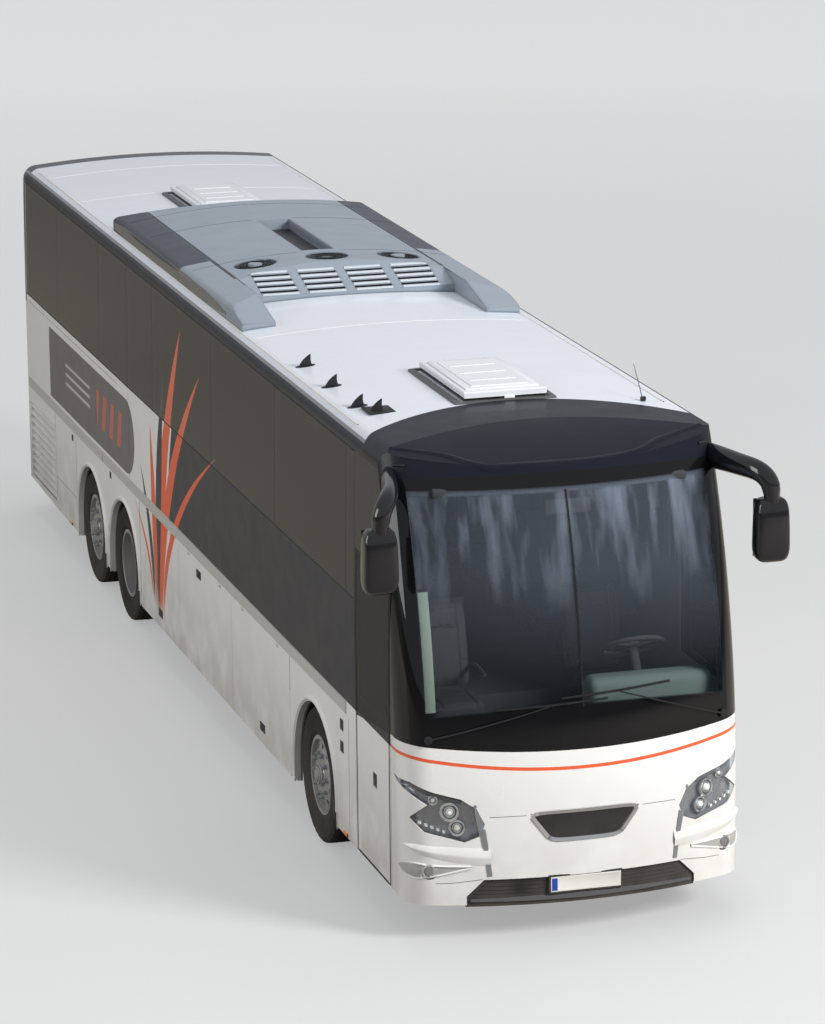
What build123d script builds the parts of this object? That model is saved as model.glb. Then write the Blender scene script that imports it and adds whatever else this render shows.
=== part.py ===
from build123d import *
from math import asin, atan2, cos, degrees, sqrt
import os

os.makedirs("parts", exist_ok=True)

# Three-axle touring coach in millimetres. X runs to the coach's left, Y runs back from the
# nose, Z is up, and the floor is at zero. A station is a distance back from the nose.
LENGTH = 13900
HALF = 1269  # half of the body's width
SILL = 290
ROOF = 3515
WALL = 60
GLASS = 8
FRONT = -LENGTH / 2
REAR = LENGTH / 2

# Front in plan, a shallow bow between two tight corners, and its rake as one large arc
BOW_R = 3400
CORNER_R = 280
RAKE_R = 5880
RAKE_Z = 900

# Cross section and side profile
LEAN_Z = 1950  # the sides lean in above this height
LEAN = 25
EAVES_Z = 3445
EAVES_R = 130
CAP_ARC_STATION = 1650
CAP_ARC_R = 3000
MARGIN = 30  # how far cutting forms stand clear of the body
REAR_LEAN_Z = 1500
REAR_LEAN = 120
REAR_RISE = 60
REAR_RISE_STATION = 11500
REAR_CORNER_R = 180
REAR_TOP_R = 200

# Where the panels meet
MASK_STATION = 560  # the front mask's joint stands upright up to its knee and then leans back
JOINT_KNEE_Z = 2600
JOINT_TOP_STATION = 900
ROOF_JOINT_Z = 3400
REAR_JOINT_STATION = 13700
CAP_SIDE_STATION = 1200
CAP_MIDDLE_STATION = 1860

# Running gaps and hinges
GAP = 6
PIN_PLAY = 0.3
HINGE_IN = 8  # hinge axis inwards of the outer face and of the hinged edge
HINGE_PIN_R = 5
LUG = 50
LUG_DEPTH = 30
LUG_REACH = 10
LUG_SHARE = 0.2  # place of the lugs along a flap
NOTCH_DEPTH = 34

# Glazing
GLASS_LOW = 2200
GLASS_TOP = 3310
PANE_JOINT = 4
FRAME = 55  # how far the frame reaches in behind each pane
SCREEN_LOW = 1390
SCREEN_LOW_SIDE = 1470
SCREEN_TOP = 3290
SCREEN_TOP_SIDE = 3258
SCREEN_CLEAR = 1100
SCREEN_CLEAR_Z = (1560, 3180)
DRIVER_GLASS_LOW = 1560
DRIVER_GLASS_FRONT = 600

# Daylight openings behind the foremost pane of each side, one row for each corner: station, height
FRONT_DAYLIGHT = {
    -1: ((690, 2660), (1463, 2660), (1463, 3255), (945, 3255)),
    1: ((655, 1615), (1463, 1615), (1463, 3255), (945, 3255), (655, 2650)),
}

# Side panes, one row for each: front station, rear station
PANES = (
    (1520, 1750),
    (1750, 3840),
    (3840, 5930),
    (5930, 8110),
    (8110, 9120),
    (9120, 10300),
    (10300, 12160),
    (12160, 13690),
)

# Trim and lamps of the front
INSERT_TOP = 475
INSERT_SHOULDER = 355
INSERT_TOP_HALF = 730
INSERT_LOW_HALF = 850
INSERT_BACK = 18
BADGE_Z = (750, 945)
BADGE_TOP_HALF = 405
BADGE_LOW_HALF = 250
BADGE_DEPTH = 10
LAMP_FRONT = 6
LAMP_BACK = 45
LAMP_DATUM = 610  # station at which the lamp outline's diagonal starts
LAMP_FAR = 1150
LAMP_REACH = 400
FOG_X = 1100
FOG_Z = 531
FOG_R = 52

# Headlamp outline on the corner's diagonal, one row for each point: along the diagonal, height
LAMP_OUTLINE = (
    (820, 1197),
    (622, 1186),
    (443, 1119),
    (279, 1071),
    (183, 999),
    (135, 885),
    (160, 800),
    (260, 753),
    (349, 783),
    (515, 831),
    (629, 927),
    (491, 1029),
    (611, 1095),
)

# Wipers, one row for each: spindle X and height, blade from X and height to X and height
WIPERS = (
    (-1090, 1500, -620, 1700, 180, 1735),
    (1090, 1500, -160, 1760, 660, 1800),
)
WIPER_OFF = 10
WIPER_FRONT = 28
WIPER_W = 24

# Mirrors, in X, station and height
MIRROR_HEAD = (1440, 180, 2832)
MIRROR_SIZE = (260, 170, 464)
MIRROR_ROUND = 50
MIRROR_ARM = ((1200, 880, 3270), (1370, 120, 3290), (1430, 165, 3010))
MIRROR_BEND_R = 110
MIRROR_TUBE_R = 42

# Axles, wheels and arches
FRONT_AXLE = 2680
DRIVE_AXLE = 9380
TAG_AXLE = 10780
TYRE_R = 522
WHEEL_X = 1102
TWIN_X = 762
RIM_R = 290
RIM_SHEET = 16
RIM_HALF = 124
SEAT_HALF = 112  # half of the width between the rim's flanges
FLANGE = 16
HAND_HOLES = 10
HAND_HOLE_R = 24
HAND_HOLE_CIRCLE_R = 226
KINGPIN_X = 950
KINGPIN_R = 22
EYE_R = 50
EYE_HALF = 100
SPINDLE_R = 45
SPINDLE_PLAY = 0.5
HUB_R = 95
DRIVE_SPINDLE_R = 70
DRIVE_HUB_R = 130
ARCH_R = 620
ARCH_Z = 470
ARCH_LIP = 30
LIP_PROUD = 6
LINER_R = 645
LINER_SHEET = 8
LINER_LOW = 360
FRONT_LINER_X = 565
REAR_LINER_X = 590
AXLE_SLOT = 200
AXLE_SLOT_TOP = 790

# Drive axle outline turned about the wheels' axis, one row for each point: X, radius
DRIVE_AXLE_OUTLINE = (
    (-950, 0),
    (-950, 70),
    (-600, 70),
    (-600, 86),
    (-210, 86),
    (-110, 190),
    (110, 190),
    (210, 86),
    (600, 86),
    (600, 70),
    (950, 70),
    (950, 0),
)

# Tyre section from bead to tread, one row for each point: half width, radius
TYRE_SECTION = ((112, 290), (112, 308), (140, 360), (147, 410), (145, 475), (132, 514), (116, 522))

# Front door and its swing arm
DOOR_REAR = 1500
DOOR_TOP = 2590
LEAF_FRONT_GAP = 12
LEAF_LOW = 300
DOOR_GLASS_LOW_FRONT = 1460
DOOR_GLASS_LOW_REAR = 1345
DOOR_CLEAR = (650, 1420)  # stations of the door's window opening
DOOR_CLEAR_Z = (1520, 2440)
DOOR_GLASS_EDGE = 6
HANDLE = (990, 990, 110)  # station, height and side of the square recess
HANDLE_DEPTH = 12
ARM_PIVOT_X = -1150
ARM_PIVOT_STATION = 640
ARM_LENGTH = 400
ARM_KNEE_X = 139
ARM_KNEE_STATION = 80
ARM_HEIGHTS = (1010, 2480)
ARM_THICK = 36
ARM_EYE_R = 28
ARM_PIN_R = 10
POST_R = 20
POST_Z = (425, 2575)
BEARING_Z = (440, 2540)  # undersides of the two bearing plates
BEARING_IN = (58, 104)  # how far in the bearing brackets start, in the pillar and behind the leaf
BEARING_ROOT = (546, 557)
BEARING_R = 31
PLATE = 30

# Luggage flaps, one row for each: name, front station, rear station
FLAPS = (
    ("front", 3430, 5308),
    ("middle", 5314, 7196),
    ("rear", 7202, 8710),
)
FLAP_LOW = 296
FLAP_TOP = 1265
STRIP_Z = (1272, 1368)
STRIP_PROUD = 6
STRIPS = ((1760, 9010), (10240, 12010))  # front and rear station of each moulding

# Floors and frame
DECK_Z = 1330
DECK = 60
DECK_START = 1750
COCKPIT_Z = 870
STEP_IN = 640  # where the cockpit floor begins beside the steps
TREADS = ((400, 1200, 920), (635, 920, 640))  # height, outer and inner distance from the middle
STEPS = (640, 1440)
LANDING_Z = 1100
LANDING_HALF = 350
BAY_Z = 360
BAY = (3400, 8700)
RAIL_X = 480
RAIL_W = 80
RAIL_H = 120
LOW_RAIL_Z = (700, 840)
NOSE_MEMBER = (220, 320)
RECOVERY_PIN_R = 20
RAILS = (1780, 13500)
CROSS_STATIONS = (1850, 3370, 6050, 8740, 10080, 11600, 13400)
CROSS = 60
ENGINE = (12050, 13450)
ENGINE_HALF = 500
ENGINE_LOW = 420
SPRING_R = 80
SHIELD_R = 200
BEAM_HALF_H = 70
BEAM_HALF_W = 55
BOGIE = 340

# Rear
ENGINE_FLAP_HALF = 800
ENGINE_FLAP_Z = (640, 1470)
PLATE_RECESS = (270, 1000, 1130, 6)  # half width, lower and upper height, depth
REAR_WINDOW_HALF = 1010
REAR_WINDOW_Z = (2150, 3200)
REAR_DEEP = 400
TAIL_LAMP_X = (880, 1060)
TAIL_LAMP_Z = (740, 1420)
TAIL_LAMP_DEPTH = 18
GRILLE = (12460, 13650)
GRILLE_Z = (380, 1130)
SLATS = 10
SLAT_W = 55
SLAT_T = 12
SLAT_TILT = 35

# Roof hatches, one row for each: name, front station
HATCHES = (("front", 1880), ("rear", 10210))
HATCH_HALF = 310
HATCH_LONG = 1150
CURB = 25
CURB_WALL = 30
LID = 45
LID_OVER = 10
LID_ROUND = 12

# Air conditioning unit on the roof
AC_FRONT = 5210
AC_BODY = 6110
AC_REAR = 10010
AC_HALF = 1160
AC_HORN_IN = 880
AC_TOP = 3700
AC_EDGE_Z = 3585
AC_ROUND = 50
AC_LOW = 3300
AC_NOSE_Z = 3545
AC_SLOPE = 590
AC_HORN_Z = 3635
LOUVRE_X = (-600, -200, 200, 600)
LOUVRE_HALF = 160
LOUVRES = 4
LOUVRE_PITCH = 100
LOUVRE_OPEN = 45
FAN_X = (-620, 0, 620)
FAN_STATION = 6910
FAN_R = 180
FAN_HUB_R = 60
FAN_FLOOR_Z = 3620
AC_SLOT_HALF = 140
AC_SLOT = (7210, 8710)
AC_SLOT_Z = 3610

# Cabin
SEAT_ROWS = 14
SEAT_FIRST = 2200
SEAT_PITCH = 780
SEAT_X = (320, 1180)
PLINTH_X = (640, 820)
PLINTH_H = 70
DASH_X = (-900, 1209)
WHEEL_CENTRE = (620, 800, 1880)
STEERING_R = 225
STEERING_TUBE = 17
COLUMN = 560
STEERING_TILT = 60  # of the column from the upright
CREW = ((620, 1180), (-610, 1020))  # X and front station of the driver's and the guide's seat
CREW_HALF = 235
CREW_LIFT = 150

# Outline of one passenger seat from its front foot, one row for each point: station, height
SEAT_OUTLINE = ((60, 0), (0, 330), (0, 440), (390, 450), (560, 1080), (640, 1060), (500, 330), (300, 300))

WIDE = HALF + 2 * MARGIN
DEEP = HALF - 6 * WALL  # how far in the cuts through the sides reach
BELOW = SILL - 2 * WALL
ABOVE = AC_TOP + MARGIN
HINGE_X = HALF - HINGE_IN
HINGE_Z = FLAP_TOP - HINGE_IN
SIDES = (("right", -1), ("left", 1))


def at(station):
    """Y of a station."""
    return FRONT + station


def span(sign, near, far):
    """Two values of X on one side of the coach, the lower first."""
    return tuple(sorted((sign * near, sign * far)))


def block(x, stations, z, mode=Mode.ADD):
    """A box between two values of X, two stations and two heights, in the running builder."""
    centre = ((x[0] + x[1]) / 2, at((stations[0] + stations[1]) / 2), (z[0] + z[1]) / 2)
    with Locations(centre):
        Box(x[1] - x[0], stations[1] - stations[0], z[1] - z[0], mode=mode)


def rod(start, end, radius, mode=Mode.ADD):
    """A round bar between two points, in the running builder."""
    run = Vector(*end) - Vector(*start)
    middle = (Vector(*start) + Vector(*end)) / 2
    with Locations(Plane(origin=middle, z_dir=run).location):
        Cylinder(radius, run.length, mode=mode)


def side_prism(points, x):
    """A prism across the coach from an outline of station and height pairs."""
    with BuildPart() as prism:
        with BuildSketch(Plane.YZ.offset(x[0])):
            with BuildLine():
                Polyline(*[(at(s), z) for s, z in points], close=True)
            make_face()
        extrude(amount=x[1] - x[0])
    return prism.part


def front_prism(points, stations):
    """A prism along the coach from an outline of X and height pairs."""
    with BuildPart() as prism:
        with BuildSketch(Plane.XZ.offset(-at(stations[0]))):
            with BuildLine():
                Polyline(*points, close=True)
            make_face()
        extrude(amount=stations[0] - stations[1])
    return prism.part


def plan_form(inset):
    """The outline in plan, with the raked nose turned about one level axis."""
    half = HALF - inset
    low = SILL - inset
    bow_y = FRONT + BOW_R
    corner_x = HALF - CORNER_R
    corner_y = bow_y - sqrt((BOW_R - CORNER_R) ** 2 - corner_x**2)
    turn = degrees(atan2(corner_y - bow_y, corner_x))
    rake_y = FRONT + RAKE_R
    with BuildPart() as form:
        with BuildSketch(Plane.XY.offset(RAKE_Z)) as nose:
            with BuildLine():
                CenterArc((corner_x, corner_y), CORNER_R - inset, 0, turn)
                CenterArc((0, bow_y), BOW_R - inset, turn, -180 - 2 * turn)
                CenterArc((-corner_x, corner_y), CORNER_R - inset, -180 - turn, turn)
                Polyline((-half, corner_y), (-half, rake_y), (half, rake_y), (half, corner_y))
            make_face()
        extrude(nose.sketch, amount=low - RAKE_Z)
        revolve(nose.sketch, axis=Axis((0, rake_y, RAKE_Z), (-1, 0, 0)), revolution_arc=90)
        with BuildSketch(Plane.XY.offset(low)) as tail:
            with Locations((0, (rake_y + REAR - inset) / 2)):
                plan = Rectangle(2 * half, REAR - inset - rake_y)
            fillet(plan.vertices().group_by(Axis.Y)[-1], REAR_CORNER_R - inset)
        extrude(tail.sketch, amount=ROOF + 2 * MARGIN - low)
    return form.part


def profile_form(inset):
    """The side profile, with the cap's fall to the windscreen and the leaning tail."""
    top = ROOF + MARGIN - inset
    low = SILL - inset
    ahead = FRONT - 2 * MARGIN
    radius = CAP_ARC_R - inset
    fall = asin((at(CAP_ARC_STATION) - ahead) / radius)
    lean = REAR_LEAN / (ROOF + MARGIN - REAR_LEAN_Z)
    rise = REAR_RISE / (LENGTH - REAR_RISE_STATION)
    behind = REAR - inset + lean * (REAR_LEAN_Z - low)
    with BuildPart() as profile:
        with BuildSketch(Plane.YZ.offset(-HALF - 2 * MARGIN)):
            with BuildLine():
                CenterArc((at(CAP_ARC_STATION), top - radius), radius, 90, degrees(fall))
                Polyline(
                    (at(CAP_ARC_STATION), top),
                    (REAR - REAR_LEAN - inset, top),
                    (behind, low),
                    (behind, low + REAR_RISE + rise * (behind - REAR)),
                    (ahead, low + REAR_RISE + rise * (ahead - REAR)),
                    (ahead, top - radius + radius * cos(fall)),
                )
            side = make_face()
            tail_top = side.vertices().sort_by_distance((0, REAR - REAR_LEAN, top))[0]
            fillet(tail_top, REAR_TOP_R - inset)
        extrude(amount=2 * HALF + 4 * MARGIN)
    return profile.part


def section_form(inset):
    """The cross section, with leaning sides, rounded eaves and a crowned roof."""
    rise = ROOF - EAVES_Z
    crown_r = ((HALF - LEAN) ** 2 + rise**2) / (2 * rise)
    eaves = HALF - LEAN - inset
    eaves_z = ROOF - crown_r + sqrt((crown_r - inset) ** 2 - eaves**2)
    low = SILL - inset - MARGIN
    foot = HALF - inset + LEAN * (LEAN_Z - low) / (eaves_z - LEAN_Z)
    with BuildPart() as section:
        with BuildSketch(Plane.XZ.offset(REAR + MARGIN)):
            with BuildLine():
                Polyline((-eaves, eaves_z), (-foot, low), (foot, low), (eaves, eaves_z))
                ThreePointArc((eaves, eaves_z), (0, ROOF - inset), (-eaves, eaves_z))
            crown = make_face()
            fillet(crown.vertices().sort_by(Axis.Z)[-2:], EAVES_R - inset)
        extrude(amount=-LENGTH - 2 * MARGIN)
    return section.part


def body_form(inset):
    """The body's outer form moved inwards by inset and open below."""
    with BuildPart() as form:
        add(plan_form(inset))
        add(profile_form(inset), mode=Mode.INTERSECT)
        add(section_form(inset), mode=Mode.INTERSECT)
    return form.part


def layer(outer_form, inner_form):
    """What lies between two forms."""
    with BuildPart() as skin:
        add(outer_form)
        add(inner_form, mode=Mode.SUBTRACT)
    return skin.part


def common(first, second):
    """What two solids share."""
    with BuildPart() as shared:
        add(first)
        add(second, mode=Mode.INTERSECT)
    return shared.part


def patch(form, x, stations, z):
    """What a form holds between two values of X, two stations and two heights."""
    with BuildPart() as piece:
        add(form)
        block(x, stations, z, mode=Mode.INTERSECT)
    return piece.part


def wheel_plane(x, axle):
    """Half section plane of a wheel, across the coach and up from the wheel's centre."""
    return Plane(origin=(x, at(axle), TYRE_R), x_dir=(1, 0, 0), z_dir=(0, -1, 0))


def turned(points, x, axle):
    """A ring turned about a wheel's axis from an outline of X and radius pairs."""
    with BuildPart() as ring:
        with BuildSketch(wheel_plane(x, axle)):
            with BuildLine():
                Polyline(*points, close=True)
            make_face()
        revolve(axis=Axis((x, at(axle), TYRE_R), (1, 0, 0)))
    return ring.part


def save(builder, name):
    """Labels a finished piece and writes it out."""
    builder.part.label = name
    export_step(builder.part, f"parts/{name}.step")


outer = body_form(0)
inner = body_form(WALL)
lamp_back = body_form(LAMP_BACK)
shell = layer(outer, inner)
glass_skin = layer(outer, body_form(GLASS))
lamp_layer = layer(body_form(LAMP_FRONT), lamp_back)
lamp_pocket = layer(outer, lamp_back)


# Zones that part the front: windscreen, whole mask and roof cap
def joint_zone(back):
    """All that lies ahead of the mask's joint, with the joint moved back."""
    outline = (
        (-WALL, BELOW - WALL),
        (MASK_STATION + back, BELOW - WALL),
        (MASK_STATION + back, JOINT_KNEE_Z),
        (JOINT_TOP_STATION + back, GLASS_TOP),
        (-WALL, GLASS_TOP),
    )
    return side_prism(outline, (-WIDE, WIDE))


def front_zone(low_middle, low_side):
    """The zone ahead of the mask's joint, from a low edge up to the windscreen's top arc."""
    with BuildPart() as zone:
        with BuildSketch(Plane.XZ.offset(WALL - FRONT)):
            with BuildLine():
                ThreePointArc((-WIDE, low_side), (0, low_middle), (WIDE, low_side))
                Line((WIDE, low_side), (WIDE, SCREEN_TOP_SIDE))
                ThreePointArc((WIDE, SCREEN_TOP_SIDE), (0, SCREEN_TOP), (-WIDE, SCREEN_TOP_SIDE))
                Line((-WIDE, SCREEN_TOP_SIDE), (-WIDE, low_side))
            make_face()
        extrude(amount=-JOINT_TOP_STATION - WALL)
        add(joint_zone(0), mode=Mode.INTERSECT)
    return zone.part


screen_zone = front_zone(SCREEN_LOW, SCREEN_LOW_SIDE)
mask_zone = front_zone(BELOW - MARGIN, BELOW)

joint_rear = side_prism(
    (
        (MASK_STATION, JOINT_KNEE_Z),
        (LENGTH, JOINT_KNEE_Z),
        (LENGTH, GLASS_TOP),
        (JOINT_TOP_STATION, GLASS_TOP),
    ),
    (-WIDE, WIDE),
)
with BuildPart() as cap_zone:
    with BuildSketch(Plane.XY.offset(SCREEN_TOP_SIDE - WALL)):
        with BuildLine():
            ThreePointArc(
                (-WIDE, at(CAP_SIDE_STATION)),
                (0, at(CAP_MIDDLE_STATION)),
                (WIDE, at(CAP_SIDE_STATION)),
            )
            Polyline(
                (WIDE, at(CAP_SIDE_STATION)),
                (WIDE, FRONT - WALL),
                (-WIDE, FRONT - WALL),
                (-WIDE, at(CAP_SIDE_STATION)),
            )
        make_face()
    extrude(amount=ROOF - SCREEN_TOP_SIDE + 2 * WALL)
    add(joint_rear, mode=Mode.SUBTRACT)
    add(mask_zone, mode=Mode.SUBTRACT)

# Windscreen, one curved pane in front of its frame
with BuildPart() as windscreen:
    add(common(glass_skin, screen_zone))
save(windscreen, "windscreen")

# Lower black insert and the bare badge plate, both set into the mask
insert_zone = front_prism(
    (
        (-INSERT_LOW_HALF, SILL - WALL),
        (INSERT_LOW_HALF, SILL - WALL),
        (INSERT_LOW_HALF, INSERT_SHOULDER),
        (INSERT_TOP_HALF, INSERT_TOP),
        (-INSERT_TOP_HALF, INSERT_TOP),
        (-INSERT_LOW_HALF, INSERT_SHOULDER),
    ),
    (-WALL, MASK_STATION),
)
badge_zone = front_prism(
    (
        (-BADGE_LOW_HALF, BADGE_Z[0]),
        (BADGE_LOW_HALF, BADGE_Z[0]),
        (BADGE_TOP_HALF, BADGE_Z[1]),
        (-BADGE_TOP_HALF, BADGE_Z[1]),
    ),
    (-WALL, MASK_STATION),
)
badge = common(layer(body_form(BADGE_DEPTH / 2), body_form(2 * BADGE_DEPTH)), badge_zone)
badge_pocket = common(layer(outer, body_form(2 * BADGE_DEPTH)), badge_zone)
with BuildPart() as front_trim:
    add(common(layer(body_form(INSERT_BACK), inner), insert_zone))
    add(badge)
save(front_trim, "front_trim")

# Headlamps, one swept unit and one round fog lamp on each side
with BuildPart() as lamp_prism:
    lamp_plane = Plane(
        origin=Vector(0, at(LAMP_DATUM), 0) + Vector(1, -1, 0).normalized() * LAMP_FAR,
        x_dir=(1, 1, 0),
        z_dir=(1, -1, 0),
    )
    with BuildSketch(lamp_plane):
        with BuildLine():
            Polyline(*LAMP_OUTLINE, close=True)
        make_face()
    extrude(amount=-LAMP_REACH)
with BuildPart() as fog_prism:
    rod((FOG_X, FRONT, FOG_Z), (FOG_X, at(MASK_STATION), FOG_Z), FOG_R)
with BuildPart() as lamp_zone:
    add(lamp_prism.part)
    add(fog_prism.part)
    mirror(about=Plane.YZ)
with BuildPart() as headlamps:
    add(common(lamp_layer, lamp_zone.part))
save(headlamps, "headlamps")

# Front mask: outer panel, frame behind the windscreen and the door post's bearings
post_xy = (ARM_PIVOT_X, at(ARM_PIVOT_STATION))
with BuildPart() as front_mask:
    add(common(shell, mask_zone))
    add(windscreen.part, mode=Mode.SUBTRACT)
    block(
        (-SCREEN_CLEAR, SCREEN_CLEAR),
        (-WALL, JOINT_TOP_STATION),
        SCREEN_CLEAR_Z,
        mode=Mode.SUBTRACT,
    )
    add(insert_zone, mode=Mode.SUBTRACT)
    add(badge_pocket, mode=Mode.SUBTRACT)
    add(common(lamp_pocket, lamp_zone.part), mode=Mode.SUBTRACT)
    for low in BEARING_Z:
        block((BEARING_IN[0] - HALF, ARM_PIVOT_X), BEARING_ROOT, (low, low + PLATE))
        block(
            (BEARING_IN[1] - HALF, ARM_PIVOT_X + BEARING_R),
            (BEARING_ROOT[0], ARM_PIVOT_STATION),
            (low, low + PLATE),
        )
        rod((*post_xy, low), (*post_xy, low + PLATE), BEARING_R)
        rod((*post_xy, low), (*post_xy, low + PLATE), POST_R + PIN_PLAY, mode=Mode.SUBTRACT)
save(front_mask, "front_mask")

# Dark roof cap above the windscreen
with BuildPart() as roof_front_cap:
    add(common(shell, cap_zone.part))
save(roof_front_cap, "roof_front_cap")

# Roof panel with the hatch openings, their curbs and hinge lugs
with BuildPart() as roof_panel:
    add(patch(shell, (-WIDE, WIDE), (0, LENGTH), (ROOF_JOINT_Z, ABOVE)))
    add(cap_zone.part, mode=Mode.SUBTRACT)
    for name, start in HATCHES:
        end = start + HATCH_LONG
        top = ROOF + CURB
        block((-HATCH_HALF, HATCH_HALF), (start, end), (ROOF_JOINT_Z + WALL, top))
        block(
            (CURB_WALL - HATCH_HALF, HATCH_HALF - CURB_WALL),
            (start + CURB_WALL, end - CURB_WALL),
            (ROOF_JOINT_Z - WALL, top),
            mode=Mode.SUBTRACT,
        )
        axis_z = top + GAP + HINGE_IN
        axis_station = end + LID_OVER - HINGE_IN
        for x in (-HATCH_HALF / 2, HATCH_HALF / 2):
            block(
                (x - LUG / 2, x + LUG / 2),
                (axis_station - LUG_DEPTH, axis_station + LUG_REACH / 2),
                (top - CURB / 2, axis_z + HINGE_IN),
            )
            rod(
                (x - LUG, at(axis_station), axis_z),
                (x + LUG, at(axis_station), axis_z),
                HINGE_PIN_R,
            )
save(roof_panel, "roof_panel")

# Hatch lids, which lift at the front
for name, start in HATCHES:
    low = ROOF + CURB + GAP
    back = start + HATCH_LONG + LID_OVER
    axis_z = low + HINGE_IN
    axis_station = back - HINGE_IN
    with BuildPart() as lid:
        lid_half = HATCH_HALF + LID_OVER
        block((-lid_half, lid_half), (start - LID_OVER, back), (low, low + LID))
        hinge_edge = lid.edges().filter_by(Axis.X).sort_by_distance((0, at(back), low))[0]
        fillet(hinge_edge, HINGE_IN)
        fillet(lid.edges().filter_by(Axis.Z), LID_ROUND)
        fillet(lid.faces().sort_by(Axis.Z)[-1].edges(), LID_ROUND)
        for x in (-HATCH_HALF / 2, HATCH_HALF / 2):
            block(
                (x - LUG / 2 - GAP, x + LUG / 2 + GAP),
                (axis_station - LUG_DEPTH - GAP, back + GAP),
                (low - GAP, low + LID + GAP),
                mode=Mode.SUBTRACT,
            )
            rod(
                (x - LUG, at(axis_station), axis_z),
                (x + LUG, at(axis_station), axis_z),
                HINGE_PIN_R + PIN_PLAY,
                mode=Mode.SUBTRACT,
            )
    save(lid, f"roof_hatch_{name}")

# Side glazing, one pane after another in a shallow rebate over the pillars
side_band = (PANES[0][0], PANES[-1][1])
front_pane_low = {-1: DOOR_TOP + 2 * PANE_JOINT, 1: DRIVER_GLASS_LOW}
front_pane_start = {-1: MASK_STATION, 1: DRIVER_GLASS_FRONT}
for side, sign in SIDES:
    with BuildPart() as glazing:
        for front, rear in PANES:
            stations = (front + PANE_JOINT / 2, rear - PANE_JOINT / 2)
            add(patch(glass_skin, span(sign, DEEP, WIDE), stations, (GLASS_LOW, GLASS_TOP)))
        stations = (front_pane_start[sign], side_band[0] - PANE_JOINT / 2)
        heights = (front_pane_low[sign], GLASS_TOP)
        front_pane = patch(glass_skin, span(sign, DEEP, WIDE), stations, heights)
        add(layer(front_pane, joint_zone(PANE_JOINT)))
    save(glazing, f"side_glass_{side}")

# Side walls with their windows, arches, flap openings, grilles and mouldings
for side, sign in SIDES:
    across = span(sign, DEEP, WIDE)
    with BuildPart() as wall:
        add(patch(shell, across, (MASK_STATION, REAR_JOINT_STATION), (BELOW, ROOF_JOINT_Z)))
        add(cap_zone.part, mode=Mode.SUBTRACT)
        add(mask_zone, mode=Mode.SUBTRACT)
        add(patch(glass_skin, across, side_band, (GLASS_LOW, GLASS_TOP)), mode=Mode.SUBTRACT)
        stations = (front_pane_start[sign], side_band[0])
        low = front_pane_low[sign]
        add(patch(glass_skin, across, stations, (low, GLASS_TOP)), mode=Mode.SUBTRACT)
        for front, rear in PANES:
            block(
                across,
                (front + FRAME, rear - FRAME),
                (GLASS_LOW + FRAME, GLASS_TOP - FRAME),
                mode=Mode.SUBTRACT,
            )
        add(side_prism(FRONT_DAYLIGHT[sign], across), mode=Mode.SUBTRACT)
        if side == "right":
            block(across, (MASK_STATION - GAP, DOOR_REAR), (BELOW, DOOR_TOP), mode=Mode.SUBTRACT)
        # Round lips, then the arches through the wall
        for axle in (FRONT_AXLE, DRIVE_AXLE, TAG_AXLE):
            hub = (at(axle), ARCH_Z)
            lip_ends = ((sign * (HALF - LIP_PROUD), *hub), (sign * (HALF + LIP_PROUD), *hub))
            rod(*lip_ends, ARCH_R + ARCH_LIP)
            rod((sign * DEEP, *hub), (sign * WIDE, *hub), ARCH_R, mode=Mode.SUBTRACT)
            block(across, (axle - ARCH_R, axle + ARCH_R), (BELOW, ARCH_Z), mode=Mode.SUBTRACT)
            around = (axle - LINER_R, axle + LINER_R)
            block(across, around, (BELOW - ARCH_R, SILL), mode=Mode.SUBTRACT)
        # Opening for the luggage flaps, with a pair of hinge lugs over each
        block(
            across,
            (FLAPS[0][1] - GAP, FLAPS[-1][2] + GAP),
            (BELOW, FLAP_TOP + GAP),
            mode=Mode.SUBTRACT,
        )
        for name, front, rear in FLAPS:
            inset = LUG_SHARE * (rear - front)
            for station in (front + inset, rear - inset):
                block(
                    span(sign, HINGE_X - LUG_DEPTH + HINGE_IN, HALF - 1),
                    (station - LUG / 2, station + LUG / 2),
                    (HINGE_Z - LUG_REACH, FLAP_TOP + GAP),
                )
                rod(
                    (sign * HINGE_X, at(station - LUG), HINGE_Z),
                    (sign * HINGE_X, at(station + LUG), HINGE_Z),
                    HINGE_PIN_R,
                )
        for front, rear in STRIPS:
            block(span(sign, HALF - STRIP_PROUD, HALF + STRIP_PROUD), (front, rear), STRIP_Z)
        # Engine air grille with tilted slats
        block(across, GRILLE, GRILLE_Z, mode=Mode.SUBTRACT)
        pitch = (GRILLE_Z[1] - GRILLE_Z[0]) / SLATS
        for row in range(SLATS):
            centre = (
                sign * (HALF - WALL / 2),
                at((GRILLE[0] + GRILLE[1]) / 2),
                GRILLE_Z[0] + (row + 0.5) * pitch,
            )
            with Locations(Location(centre, (0, sign * SLAT_TILT, 0))):
                Box(SLAT_W, GRILLE[1] - GRILLE[0], SLAT_T)
    save(wall, f"side_wall_{side}")

# Luggage flaps, hung from pins at their upper outer edge
for side, sign in SIDES:
    for name, front, rear in FLAPS:
        with BuildPart() as flap:
            block(span(sign, HALF - WALL, HALF), (front, rear), (FLAP_LOW, FLAP_TOP))
            top_edge = flap.edges().filter_by(Axis.Y).sort_by_distance((sign * HALF, 0, FLAP_TOP))[0]
            fillet(top_edge, HINGE_IN)
            inset = LUG_SHARE * (rear - front)
            for station in (front + inset, rear - inset):
                block(
                    span(sign, DEEP, WIDE),
                    (station - LUG / 2 - GAP, station + LUG / 2 + GAP),
                    (FLAP_TOP - NOTCH_DEPTH, FLAP_TOP + GAP),
                    mode=Mode.SUBTRACT,
                )
                rod(
                    (sign * HINGE_X, at(station - LUG), HINGE_Z),
                    (sign * HINGE_X, at(station + LUG), HINGE_Z),
                    HINGE_PIN_R + PIN_PLAY,
                    mode=Mode.SUBTRACT,
                )
        save(flap, f"luggage_flap_{side}_{name}")

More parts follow.
